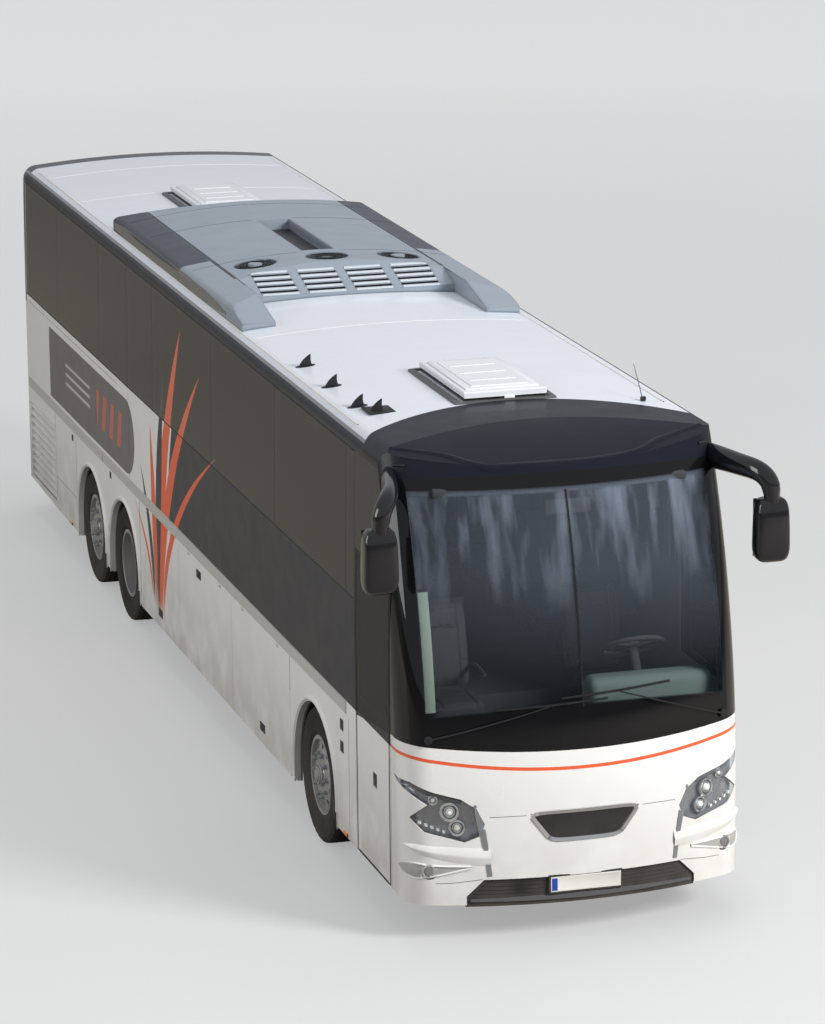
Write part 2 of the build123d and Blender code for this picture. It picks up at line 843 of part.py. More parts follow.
# Rear window and tail lamps
tail_band = (LENGTH - REAR_DEEP, LENGTH + WALL)
rear_pane = patch(glass_skin, (-REAR_WINDOW_HALF, REAR_WINDOW_HALF), tail_band, REAR_WINDOW_Z)
with BuildPart() as rear_window:
    add(rear_pane)
save(rear_window, "rear_window")
tail_skin = layer(outer, body_form(TAIL_LAMP_DEPTH))
with BuildPart() as tail_lamps:
    for side, sign in SIDES:
        add(patch(tail_skin, span(sign, *TAIL_LAMP_X), tail_band, TAIL_LAMP_Z))
save(tail_lamps, "tail_lamps")

# Rear wall with the engine flap's opening and hinge lugs
flap_axis = (LENGTH - HINGE_IN, ENGINE_FLAP_Z[1] - HINGE_IN)  # station and height
with BuildPart() as rear_wall:
    add(patch(shell, (-WIDE, WIDE), (REAR_JOINT_STATION, LENGTH + WALL), (BELOW, ROOF_JOINT_Z)))
    add(rear_pane, mode=Mode.SUBTRACT)
    block(
        (FRAME - REAR_WINDOW_HALF, REAR_WINDOW_HALF - FRAME),
        tail_band,
        (REAR_WINDOW_Z[0] + FRAME, REAR_WINDOW_Z[1] - FRAME),
        mode=Mode.SUBTRACT,
    )
    add(tail_lamps.part, mode=Mode.SUBTRACT)
    block(
        (-ENGINE_FLAP_HALF - GAP, ENGINE_FLAP_HALF + GAP),
        tail_band,
        (ENGINE_FLAP_Z[0] - GAP, ENGINE_FLAP_Z[1] + GAP),
        mode=Mode.SUBTRACT,
    )
    for x in (-ENGINE_FLAP_HALF / 2, ENGINE_FLAP_HALF / 2):
        block(
            (x - LUG / 2, x + LUG / 2),
            (LENGTH - LUG_DEPTH, LENGTH - 1),
            (flap_axis[1] - LUG_REACH, ENGINE_FLAP_Z[1] + GAP),
        )
        rod(
            (x - LUG, at(flap_axis[0]), flap_axis[1]),
            (x + LUG, at(flap_axis[0]), flap_axis[1]),
            HINGE_PIN_R,
        )
save(rear_wall, "rear_wall")

# Engine flap with a recess for a plate
with BuildPart() as engine_flap:
    block((-ENGINE_FLAP_HALF, ENGINE_FLAP_HALF), (LENGTH - WALL, LENGTH), ENGINE_FLAP_Z)
    top_edge = engine_flap.edges().filter_by(Axis.X).sort_by_distance((0, REAR, ENGINE_FLAP_Z[1]))[0]
    fillet(top_edge, HINGE_IN)
    block(
        (-PLATE_RECESS[0], PLATE_RECESS[0]),
        (LENGTH - PLATE_RECESS[3], LENGTH + GAP),
        (PLATE_RECESS[1], PLATE_RECESS[2]),
        mode=Mode.SUBTRACT,
    )
    for x in (-ENGINE_FLAP_HALF / 2, ENGINE_FLAP_HALF / 2):
        block(
            (x - LUG / 2 - GAP, x + LUG / 2 + GAP),
            tail_band,
            (ENGINE_FLAP_Z[1] - NOTCH_DEPTH, ENGINE_FLAP_Z[1] + GAP),
            mode=Mode.SUBTRACT,
        )
        rod(
            (x - LUG, at(flap_axis[0]), flap_axis[1]),
            (x + LUG, at(flap_axis[0]), flap_axis[1]),
            HINGE_PIN_R + PIN_PLAY,
            mode=Mode.SUBTRACT,
        )
save(engine_flap, "engine_flap")

# Front door leaf, its glass and the post with two cranked arms that carries it
leaf_stations = (MASK_STATION + LEAF_FRONT_GAP, DOOR_REAR - GAP)
leaf_z = (LEAF_LOW, DOOR_TOP - GAP)
pin_xy = (ARM_PIVOT_X, at(ARM_PIVOT_STATION + ARM_LENGTH))
glass_outline = side_prism(
    (
        (leaf_stations[0] + DOOR_GLASS_EDGE, DOOR_GLASS_LOW_FRONT),
        (leaf_stations[1] - DOOR_GLASS_EDGE, DOOR_GLASS_LOW_REAR),
        (leaf_stations[1] - DOOR_GLASS_EDGE, leaf_z[1] - DOOR_GLASS_EDGE),
        (leaf_stations[0] + DOOR_GLASS_EDGE, leaf_z[1] - DOOR_GLASS_EDGE),
    ),
    (-WIDE, -DEEP),
)
with BuildPart() as door_glass:
    add(common(glass_skin, glass_outline))
save(door_glass, "door_glass")

with BuildPart() as front_door:
    add(patch(shell, (-WIDE, -DEEP), leaf_stations, leaf_z))
    add(door_glass.part, mode=Mode.SUBTRACT)
    block((-WIDE, -DEEP), DOOR_CLEAR, DOOR_CLEAR_Z, mode=Mode.SUBTRACT)
    block(
        (-WIDE, HANDLE_DEPTH - HALF),
        (HANDLE[0] - HANDLE[2] / 2, HANDLE[0] + HANDLE[2] / 2),
        (HANDLE[1] - HANDLE[2] / 2, HANDLE[1] + HANDLE[2] / 2),
        mode=Mode.SUBTRACT,
    )
    for height in ARM_HEIGHTS:
        low = height + ARM_THICK / 2 + GAP
        block(
            (WALL - HALF, ARM_PIVOT_X + ARM_EYE_R),
            (
                ARM_PIVOT_STATION + ARM_LENGTH - ARM_EYE_R,
                ARM_PIVOT_STATION + ARM_LENGTH + ARM_EYE_R,
            ),
            (low, low + 2 * ARM_PIN_R),
        )
        rod((*pin_xy, height - ARM_THICK / 2), (*pin_xy, low + ARM_PIN_R), ARM_PIN_R)
save(front_door, "front_door")

with BuildPart() as door_arm:
    rod((*post_xy, POST_Z[0]), (*post_xy, POST_Z[1]), POST_R)
    knee = (ARM_PIVOT_X + ARM_KNEE_X, post_xy[1] + ARM_KNEE_STATION)
    for height in ARM_HEIGHTS:
        with BuildSketch(Plane.XY.offset(height - ARM_THICK / 2)):
            with BuildLine():
                Polyline(post_xy, knee, pin_xy)
            trace(line_width=ARM_THICK)
            with Locations(post_xy, pin_xy):
                Circle(ARM_EYE_R)
        extrude(amount=ARM_THICK)
        rod(
            (*pin_xy, height - ARM_THICK),
            (*pin_xy, height + ARM_THICK),
            ARM_PIN_R + PIN_PLAY,
            mode=Mode.SUBTRACT,
        )
save(door_arm, "door_arm")

# Air conditioning unit: two long wings with forward horns round a crowned middle
with BuildPart() as ac_unit:
    with BuildSketch(Plane.XY.offset(AC_LOW)):
        with BuildLine():
            Polyline(
                (-AC_HALF, at(AC_FRONT)),
                (-AC_HORN_IN, at(AC_FRONT)),
                (-AC_HORN_IN, at(AC_BODY)),
                (AC_HORN_IN, at(AC_BODY)),
                (AC_HORN_IN, at(AC_FRONT)),
                (AC_HALF, at(AC_FRONT)),
                (AC_HALF, at(AC_REAR)),
                (-AC_HALF, at(AC_REAR)),
                close=True,
            )
        make_face()
    extrude(amount=AC_TOP - AC_LOW + MARGIN)
    with BuildSketch(Plane.XZ.offset(-at(AC_FRONT))):
        with BuildLine():
            ThreePointArc((AC_HALF, AC_EDGE_Z), (0, AC_TOP), (-AC_HALF, AC_EDGE_Z))
            Polyline(
                (-AC_HALF, AC_EDGE_Z),
                (-AC_HALF, AC_LOW),
                (AC_HALF, AC_LOW),
                (AC_HALF, AC_EDGE_Z),
            )
        crest = make_face()
        fillet(crest.vertices().group_by(Axis.Z)[-1], AC_ROUND)
    extrude(amount=AC_FRONT - AC_REAR, mode=Mode.INTERSECT)
    with BuildSketch(Plane.YZ.offset(-AC_HALF)):
        with BuildLine():
            ThreePointArc(
                (at(AC_FRONT), ROOF),
                (at(AC_FRONT + AC_SLOPE), AC_HORN_Z),
                (at(AC_BODY), AC_TOP + GAP),
            )
            Polyline(
                (at(AC_BODY), AC_TOP + GAP),
                (at(AC_REAR - AC_SLOPE / 2), AC_TOP + GAP),
                (at(AC_REAR), AC_NOSE_Z),
                (at(AC_REAR), AC_LOW),
                (at(AC_FRONT), AC_LOW),
                (at(AC_FRONT), ROOF),
            )
        make_face()
    extrude(amount=2 * AC_HALF, mode=Mode.INTERSECT)
    nose_cut = side_prism(
        (
            (AC_BODY - GAP, AC_NOSE_Z),
            (AC_BODY + AC_SLOPE, AC_TOP + GAP),
            (AC_BODY - GAP, AC_TOP + GAP),
        ),
        (-AC_HORN_IN, AC_HORN_IN),
    )
    add(nose_cut, mode=Mode.SUBTRACT)
    add(outer, mode=Mode.SUBTRACT)
    for x in LOUVRE_X:
        for row in range(LOUVRES):
            start = AC_BODY + LOUVRE_PITCH * (row + 0.5)
            floor = AC_NOSE_Z + (AC_TOP - AC_NOSE_Z) * (start - AC_BODY) / AC_SLOPE - LOUVRE_OPEN
            block(
                (x - LOUVRE_HALF, x + LOUVRE_HALF),
                (start, start + LOUVRE_OPEN),
                (floor, ABOVE),
                mode=Mode.SUBTRACT,
            )
    for x in FAN_X:
        fan_xy = (x, at(FAN_STATION))
        rod((*fan_xy, FAN_FLOOR_Z), (*fan_xy, ABOVE), FAN_R, mode=Mode.SUBTRACT)
        rod((*fan_xy, FAN_FLOOR_Z), (*fan_xy, FAN_FLOOR_Z + LUG), FAN_HUB_R)
    block((-AC_SLOT_HALF, AC_SLOT_HALF), AC_SLOT, (AC_SLOT_Z, ABOVE), mode=Mode.SUBTRACT)
save(ac_unit, "ac_unit")

# Mirrors on curved arms from the cap's corners
with BuildPart() as mirror_left:
    points = [(x, at(s), z) for x, s, z in MIRROR_ARM]
    with BuildLine() as arm_path:
        FilletPolyline(*points, radius=MIRROR_BEND_R)
    with BuildSketch(Plane(origin=arm_path.line @ 0, z_dir=arm_path.line % 0)):
        Circle(MIRROR_TUBE_R)
    sweep(path=arm_path.line)
    with Locations((MIRROR_HEAD[0], at(MIRROR_HEAD[1]), MIRROR_HEAD[2])):
        head = Box(*MIRROR_SIZE)
    fillet(head.edges(), MIRROR_ROUND)
    add(outer, mode=Mode.SUBTRACT)
with BuildPart() as mirrors:
    add(mirror_left.part)
    mirror(about=Plane.YZ)
save(mirrors, "mirrors")

# Wipers, laid over the windscreen's curve, with their spindles on it
wiper_layer = layer(body_form(-WIPER_FRONT), body_form(-WIPER_OFF))
boss_layer = layer(body_form(-WIPER_FRONT), outer)
with BuildPart() as wiper_zone:
    with BuildSketch(Plane.XZ.offset(WALL - FRONT)):
        for pivot_x, pivot_z, x0, z0, x1, z1 in WIPERS:
            with BuildLine():
                Line((x0, z0), (x1, z1))
            trace(line_width=WIPER_W)
            with BuildLine():
                Line((pivot_x, pivot_z), ((x0 + x1) / 2, (z0 + z1) / 2))
            trace(line_width=WIPER_W)
    extrude(amount=-MASK_STATION)
with BuildPart() as boss_zone:
    for row in WIPERS:
        rod((row[0], FRONT - WALL, row[1]), (row[0], at(MASK_STATION), row[1]), WIPER_W)
with BuildPart() as wipers:
    add(common(wiper_layer, wiper_zone.part))
    add(common(boss_layer, boss_zone.part))
save(wipers, "wipers")

# Passenger deck, filling the body between its walls
with BuildPart() as floor_deck:
    add(patch(inner, (-WIDE, WIDE), (DECK_START, LENGTH), (DECK_Z - DECK, DECK_Z)))
save(floor_deck, "floor_deck")

# Entrance steps, cockpit floor and the landing up to the deck
with BuildPart() as entry_steps:
    inside = HALF - WALL
    block((-STEP_IN, inside), (STEPS[0], DECK_START - PLATE), (COCKPIT_Z - PLATE, COCKPIT_Z))
    block((-inside, inside), (DECK_START - PLATE, DECK_START), (COCKPIT_Z - PLATE, DECK_Z))
    block((-inside, -STEP_IN), (STEPS[1], DECK_START), (TREADS[0][0] - PLATE, COCKPIT_Z))
    landing_z = (COCKPIT_Z - PLATE, LANDING_Z)
    block((-LANDING_HALF, LANDING_HALF), (STEPS[1] + WALL, DECK_START), landing_z)
    rises = (TREADS[1][0], COCKPIT_Z)
    flight = (STEPS[0] + WALL, STEPS[1] + PLATE)
    for (height, far, near), rise in zip(TREADS, rises):
        block((-far, -near), flight, (height - PLATE, height))
        block((-near, PLATE - near), flight, (height - PLATE, rise))
    block((-STEP_IN, inside), (MASK_STATION, STEPS[0]), (COCKPIT_Z - PLATE, COCKPIT_Z))
save(entry_steps, "entry_steps")

# Frame: side rails that step down to low ends under the cockpit
rail_in = RAIL_X - RAIL_W / 2
rail_z = (DECK_Z - DECK - RAIL_H, DECK_Z - DECK)
with BuildPart() as side_rails:
    for side, sign in SIDES:
        rail_x = span(sign, rail_in, rail_in + RAIL_W)
        block(rail_x, RAILS, rail_z)
        block(rail_x, (NOSE_MEMBER[0], RAILS[0] + RAIL_W), LOW_RAIL_Z)
        block(rail_x, (RAILS[0], RAILS[0] + RAIL_W), (LOW_RAIL_Z[0], rail_z[0]))
save(side_rails, "side_rails")

# Cross members between the rails
with BuildPart() as cross_members:
    for station in CROSS_STATIONS:
        block((-rail_in, rail_in), (station - CROSS / 2, station + CROSS / 2), rail_z)
save(cross_members, "cross_members")

# Nose member between the low rails, with the hole for the recovery pin
with BuildPart() as nose_member:
    block((-rail_in, rail_in), NOSE_MEMBER, LOW_RAIL_Z)
    pin_y = at((NOSE_MEMBER[0] + NOSE_MEMBER[1]) / 2)
    rod((0, pin_y, LOW_RAIL_Z[0]), (0, pin_y, LOW_RAIL_Z[1]), RECOVERY_PIN_R, mode=Mode.SUBTRACT)
save(nose_member, "nose_member")

# Luggage bay: its floor and the bulkheads at both ends
with BuildPart() as luggage_bay:
    bay_half = HALF - WALL - GAP
    block((-bay_half, bay_half), BAY, (BAY_Z - PLATE, BAY_Z))
    block((-bay_half, bay_half), (BAY[0], BAY[0] + PLATE), (BAY_Z - PLATE, DECK_Z - DECK))
    block((-bay_half, bay_half), (BAY[1] - PLATE, BAY[1]), (BAY_Z - PLATE, DECK_Z - DECK))
    add(side_rails.part, mode=Mode.SUBTRACT)
    add(cross_members.part, mode=Mode.SUBTRACT)
save(luggage_bay, "luggage_bay")

# Wheel housings behind the arches, one row for each axle: station, inner X
LINERS = ((FRONT_AXLE, FRONT_LINER_X), (DRIVE_AXLE, REAR_LINER_X), (TAG_AXLE, REAR_LINER_X))
with BuildPart() as housings_left:
    for axle, near in LINERS:
        with BuildSketch(Plane.YZ.offset(near)):
            with Locations((at(axle), TYRE_R)):
                Circle(LINER_R + LINER_SHEET)
            with Locations((at(axle), (TYRE_R + LINER_LOW) / 2)):
                Rectangle(2 * (LINER_R + LINER_SHEET), TYRE_R - LINER_LOW)
        extrude(amount=HALF - WALL - near)
        with BuildSketch(Plane.YZ.offset(near + LINER_SHEET)):
            with Locations((at(axle), TYRE_R)):
                Circle(LINER_R)
            with Locations((at(axle), TYRE_R / 2)):
                Rectangle(2 * LINER_R, TYRE_R)
        extrude(amount=HALF - near, mode=Mode.SUBTRACT)
        around = (axle - 2 * LINER_R, axle + 2 * LINER_R)
        block((0, WIDE), around, (-LINER_R, LINER_LOW), mode=Mode.SUBTRACT)
        slot = (axle - AXLE_SLOT, axle + AXLE_SLOT)
        block((0, near + PLATE), slot, (0, AXLE_SLOT_TOP), mode=Mode.SUBTRACT)
with BuildPart() as wheel_housings:
    add(housings_left.part)
    mirror(about=Plane.YZ)
save(wheel_housings, "wheel_housings")

# Engine as one plain block hung from the rails
with BuildPart() as engine_block:
    block((-ENGINE_HALF, ENGINE_HALF), ENGINE, (ENGINE_LOW, DECK_Z - DECK - RAIL_H))
save(engine_block, "engine_block")

# Steered axle beams with kingpin eyes and air springs
spring_top = DECK_Z - DECK - RAIL_H
for name, axle in (("front_axle", FRONT_AXLE), ("tag_axle", TAG_AXLE)):
    with BuildPart() as beam:
        block(
            (-KINGPIN_X, KINGPIN_X),
            (axle - BEAM_HALF_W, axle + BEAM_HALF_W),
            (TYRE_R - BEAM_HALF_H, TYRE_R + BEAM_HALF_H),
        )
        for side, sign in SIDES:
            eye = (sign * KINGPIN_X, at(axle))
            rod((*eye, TYRE_R - EYE_HALF), (*eye, TYRE_R + EYE_HALF), EYE_R)
            block(
                span(sign, KINGPIN_X, WIDE),
                (axle - LINER_R, axle + LINER_R),
                (TYRE_R - BEAM_HALF_H, TYRE_R + BEAM_HALF_H),
                mode=Mode.SUBTRACT,
            )
            rod((*eye, TYRE_R - EYE_HALF), (*eye, TYRE_R + EYE_HALF), EYE_R)
            rod(
                (*eye, TYRE_R - EYE_HALF),
                (*eye, TYRE_R + EYE_HALF),
                KINGPIN_R + PIN_PLAY,
                mode=Mode.SUBTRACT,
            )
            seat = (sign * RAIL_X, at(axle))
            rod((*seat, TYRE_R), (*seat, spring_top), SPRING_R)
    save(beam, name)

# Drive axle with its final drive, side beams and four air springs
with BuildPart() as drive_axle:
    add(turned(DRIVE_AXLE_OUTLINE, 0, DRIVE_AXLE))
    for side, sign in SIDES:
        block(
            span(sign, RAIL_X - RAIL_W / 2, RAIL_X + RAIL_W / 2),
            (DRIVE_AXLE - BOGIE, DRIVE_AXLE + BOGIE),
            (TYRE_R - BEAM_HALF_H, TYRE_R + BEAM_HALF_H),
        )
        for station in (DRIVE_AXLE - BOGIE, DRIVE_AXLE + BOGIE):
            seat = (sign * RAIL_X, at(station))
            rod((*seat, TYRE_R - BEAM_HALF_H), (*seat, spring_top), SPRING_R)
save(drive_axle, "drive_axle")

# Steering knuckles: a fork round the eye, the kingpin, a spindle and a brake shield
for name, axle in (("front", FRONT_AXLE), ("tag", TAG_AXLE)):
    fork_low = TYRE_R - EYE_HALF - GAP
    fork_top = TYRE_R + EYE_HALF + GAP
    plate_x = (KINGPIN_X + EYE_R + GAP, KINGPIN_X + EYE_R + GAP + PLATE)
    pin = (KINGPIN_X, at(axle))
    with BuildPart() as knuckle_left:
        rod((*pin, fork_low - PLATE), (*pin, fork_top + PLATE), KINGPIN_R)
        wide = (axle - SPINDLE_R, axle + SPINDLE_R)
        for low in (fork_low - PLATE, fork_top):
            block((KINGPIN_X - SPINDLE_R, plate_x[1]), wide, (low, low + PLATE))
        block(plate_x, wide, (fork_low - PLATE, fork_top + PLATE))
        hub = (at(axle), TYRE_R)
        rod((plate_x[0], *hub), (WHEEL_X + PLATE, *hub), SPINDLE_R)
        rod((plate_x[1], *hub), (plate_x[1] + LINER_SHEET, *hub), SHIELD_R)
    save(knuckle_left, f"knuckle_{name}_left")
    with BuildPart() as knuckle_right:
        add(mirror(knuckle_left.part, about=Plane.YZ))
    save(knuckle_right, f"knuckle_{name}_right")


def rim_barrel():
    """Section of the rim between its flanges, without the disc."""
    inner_r = RIM_R - RIM_SHEET
    return [
        (-RIM_HALF, RIM_R + FLANGE),
        (-SEAT_HALF, RIM_R + FLANGE),
        (-SEAT_HALF, RIM_R),
        (SEAT_HALF, RIM_R),
        (SEAT_HALF, RIM_R + FLANGE),
        (RIM_HALF, RIM_R + FLANGE),
        (RIM_HALF, inner_r),
        (-RIM_HALF, inner_r),
    ]


tyre_outline = [(w, r) for w, r in TYRE_SECTION] + [(-w, r) for w, r in reversed(TYRE_SECTION)]

# Single wheels with a convex disc, on the front and tag axles
for name, axle in (("front", FRONT_AXLE), ("tag", TAG_AXLE)):
    inner_r = RIM_R - RIM_SHEET
    hub_in = KINGPIN_X + EYE_R + 2 * GAP + PLATE + LINER_SHEET - WHEEL_X
    bore = SPINDLE_R + SPINDLE_PLAY
    disc = [
        (70, inner_r + 1),
        (92, inner_r + 1),
        (104, 232),
        (118, 182),
        (118, 85),
        (138, 70),
        (138, 0),
        (PLATE + GAP, 0),
        (PLATE + GAP, bore),
        (hub_in, bore),
        (hub_in, HUB_R),
        (60, HUB_R),
        (98, 120),
        (98, 182),
        (84, 226),
    ]
    with BuildPart() as rim_left:
        add(turned(rim_barrel(), WHEEL_X, axle))
        add(turned(disc, WHEEL_X, axle))
        with Locations(Plane(origin=(WHEEL_X, at(axle), TYRE_R), z_dir=(1, 0, 0)).location):
            with PolarLocations(HAND_HOLE_CIRCLE_R, HAND_HOLES):
                Cylinder(HAND_HOLE_R, 4 * HUB_R, mode=Mode.SUBTRACT)
    save(rim_left, f"rim_{name}_left")
    with BuildPart() as tyre_left:
        add(turned(tyre_outline, WHEEL_X, axle))
    save(tyre_left, f"tyre_{name}_left")
    with BuildPart() as rim_right:
        add(mirror(rim_left.part, about=Plane.YZ))
    save(rim_right, f"rim_{name}_right")
    with BuildPart() as tyre_right:
        add(mirror(tyre_left.part, about=Plane.YZ))
    save(tyre_right, f"tyre_{name}_right")

# Twin wheels on the drive axle, their dished discs back to back on one hub
middle_x = (WHEEL_X + TWIN_X) / 2
offset_x = WHEEL_X - middle_x
inner_r = RIM_R - RIM_SHEET
dish = [
    (0, DRIVE_HUB_R),
    (0, 190),
    (24, 226),
    (offset_x - RIM_HALF + 20, inner_r + 1),
    (offset_x - RIM_HALF + 44, inner_r + 1),
    (42, 224),
    (16, 180),
    (16, DRIVE_HUB_R),
]
drive_hub = [
    (REAR_LINER_X + WALL - middle_x, DRIVE_SPINDLE_R + SPINDLE_PLAY),
    (KINGPIN_X + GAP - middle_x, DRIVE_SPINDLE_R + SPINDLE_PLAY),
    (KINGPIN_X + GAP - middle_x, 0),
    (WHEEL_X - middle_x, 0),
    (WHEEL_X - middle_x, 70),
    (WHEEL_X - middle_x - PLATE, 105),
    (80, 105),
    (60, DRIVE_HUB_R),
    (REAR_LINER_X + WALL - middle_x, DRIVE_HUB_R),
]
with BuildPart() as rim_drive_left:
    add(turned(rim_barrel(), WHEEL_X, DRIVE_AXLE))
    add(turned(rim_barrel(), TWIN_X, DRIVE_AXLE))
    add(turned(dish, middle_x, DRIVE_AXLE))
    add(turned([(-x, r) for x, r in dish], middle_x, DRIVE_AXLE))
    add(turned(drive_hub, middle_x, DRIVE_AXLE))
    with Locations(Plane(origin=(middle_x, at(DRIVE_AXLE), TYRE_R), z_dir=(1, 0, 0)).location):
        with PolarLocations(HAND_HOLE_CIRCLE_R, HAND_HOLES):
            Cylinder(HAND_HOLE_R, 4 * HUB_R, mode=Mode.SUBTRACT)
save(rim_drive_left, "rim_drive_left")
with BuildPart() as tyre_drive_left:
    add(turned(tyre_outline, WHEEL_X, DRIVE_AXLE))
    add(turned(tyre_outline, TWIN_X, DRIVE_AXLE))
save(tyre_drive_left, "tyre_drive_left")
with BuildPart() as rim_drive_right:
    add(mirror(rim_drive_left.part, about=Plane.YZ))
save(rim_drive_right, "rim_drive_right")
with BuildPart() as tyre_drive_right:
    add(mirror(tyre_drive_left.part, about=Plane.YZ))
save(tyre_drive_right, "tyre_drive_right")

# Dashboard across the cockpit under the windscreen
dash_outline = side_prism(
    (
        (0, COCKPIT_Z),
        (MASK_STATION - GAP, COCKPIT_Z),
        (MASK_STATION + WALL, DRIVER_GLASS_LOW - 3 * WALL),
        (MASK_STATION - WALL, SCREEN_CLEAR_Z[0] - WALL),
        (0, SCREEN_CLEAR_Z[0] - WALL),
    ),
    DASH_X,
)
with BuildPart() as dashboard:
    add(common(inner, dash_outline))
save(dashboard, "dashboard")

# Steering wheel on its column, which stands on the dashboard
wheel_at = Vector(WHEEL_CENTRE[0], at(WHEEL_CENTRE[1]), WHEEL_CENTRE[2])
column_run = Vector(0, 1, 0).rotate(Axis.X, STEERING_TILT)
wheel_tilt = Plane(origin=wheel_at, x_dir=(1, 0, 0), z_dir=column_run)
with BuildPart() as steering_wheel:
    with Locations(wheel_tilt.location):
        Torus(STEERING_R, STEERING_TUBE)
        Cylinder(3 * STEERING_TUBE, 2 * STEERING_TUBE)
        for angle in (0, 120, 240):
            with Locations(Location((0, 0, 0), (0, 0, angle + 90))):
                with Locations((STEERING_R / 2, 0, 0)):
                    Box(STEERING_R, 2 * STEERING_TUBE, STEERING_TUBE)
    foot = wheel_at - column_run * COLUMN
    rod(tuple(wheel_at), tuple(foot), 2 * STEERING_TUBE)
    add(dashboard.part, mode=Mode.SUBTRACT)
save(steering_wheel, "steering_wheel")

# Seats for the driver and the guide
with BuildPart() as crew_seats:
    for x, station in CREW:
        outline = [(station + s, COCKPIT_Z + CREW_LIFT + h) for s, h in SEAT_OUTLINE]
        add(side_prism(outline, (x - CREW_HALF, x + CREW_HALF)))
        pedestal_x = (x - CREW_HALF / 2, x + CREW_HALF / 2)
        block(pedestal_x, (station + CREW_HALF / 2, station + CREW_HALF), (COCKPIT_Z, DECK_Z))
save(crew_seats, "crew_seats")

# Passenger seats in two rows of pairs, each row on one plinth
for side, sign in SIDES:
    with BuildPart() as seats:
        last = SEAT_FIRST + SEAT_PITCH * SEAT_ROWS
        block(span(sign, *PLINTH_X), (SEAT_FIRST, last - WALL), (DECK_Z, DECK_Z + PLINTH_H))
        for row in range(SEAT_ROWS):
            start = SEAT_FIRST + row * SEAT_PITCH
            outline = [(start + s, DECK_Z + PLINTH_H / 2 + h) for s, h in SEAT_OUTLINE]
            add(side_prism(outline, span(sign, *SEAT_X)))
    save(seats, f"seats_{side}")
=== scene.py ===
"""Looks of a three-axle touring coach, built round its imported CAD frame.

Lengths are metres in the frame's own axes: X to the coach's left, Y to its rear, Z up from the ground.
"""

import logging
import math
from collections.abc import Callable, Iterator, Sequence
from contextlib import contextmanager
from dataclasses import dataclass
from enum import Enum

import bpy
from mathutils import Matrix, Quaternion, Vector
from mathutils.bvhtree import BVHTree


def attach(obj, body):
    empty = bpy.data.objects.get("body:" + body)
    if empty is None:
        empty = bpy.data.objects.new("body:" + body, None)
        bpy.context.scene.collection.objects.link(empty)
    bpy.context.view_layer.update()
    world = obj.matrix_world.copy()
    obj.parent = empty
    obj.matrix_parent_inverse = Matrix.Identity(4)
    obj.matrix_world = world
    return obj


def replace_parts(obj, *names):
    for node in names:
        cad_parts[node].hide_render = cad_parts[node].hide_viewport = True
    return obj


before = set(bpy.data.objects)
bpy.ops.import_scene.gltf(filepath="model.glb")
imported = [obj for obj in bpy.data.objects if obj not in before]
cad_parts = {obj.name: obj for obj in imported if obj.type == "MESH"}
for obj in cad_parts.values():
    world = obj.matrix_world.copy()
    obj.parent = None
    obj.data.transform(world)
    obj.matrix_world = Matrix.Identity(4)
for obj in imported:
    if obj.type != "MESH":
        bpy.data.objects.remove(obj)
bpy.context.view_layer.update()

logging.basicConfig(level=logging.INFO, format="%(message)s")
log = logging.getLogger("coach")

Piece = bpy.types.Object
Socket = bpy.types.NodeSocket
Material = bpy.types.Material
Colour = tuple[float, float, float]
Place = Sequence[float]
Rows = tuple[tuple[float, ...], ...]
Seat = tuple[Vector, Vector]
Pick = Callable[[bpy.types.MeshPolygon], bool]
Shape = Callable[[float, float], Place]
View = Callable[..., Seat]

UP = Vector((0, 0, 1))
BACK = Vector((0, 1, 0))
SIDES = {"left": 1, "right": -1}
NOSE_Y = -6.95
AXLES = {"front": 2.68, "drive": 9.38, "tag": 10.78}
HATCHES = {"front": 1.88, "rear": 10.21}
HATCH_LONG = 1.15
FAN_XS = (-0.62, 0.0, 0.62)
FAN_STATION = 6.91
UNIT_HALF = 1.16
UNIT_TOP = 3.70
UNIT_DROP = 0.115
PLATE = (0.52, 0.11)
PLATE_STEPS = ((0.006, 0.0), (0.002, -0.001))


def at(station: float) -> float:
    """Y of a station, the distance back from the nose."""
    return NOSE_Y + station


def unit_top(x: float) -> float:
    """Height of the roof unit's crown at X."""
    return UNIT_TOP - UNIT_DROP * (x / UNIT_HALF) ** 2


class Slot(Enum):
    """The record's material slots, passed along with the new pieces."""

    BODY = "body_paint"
    DARK = "dark_paint"
    ROOF_UNIT = "roof_unit"
    TRIM = "black_trim"
    LAMP = "lamp"
    TAIL_LAMP = "tail_lamp"
    RIM = "rim_paint"
    TYRE = "tyre"
    CLOTH = "seat_cloth"
    INTERIOR = "interior"


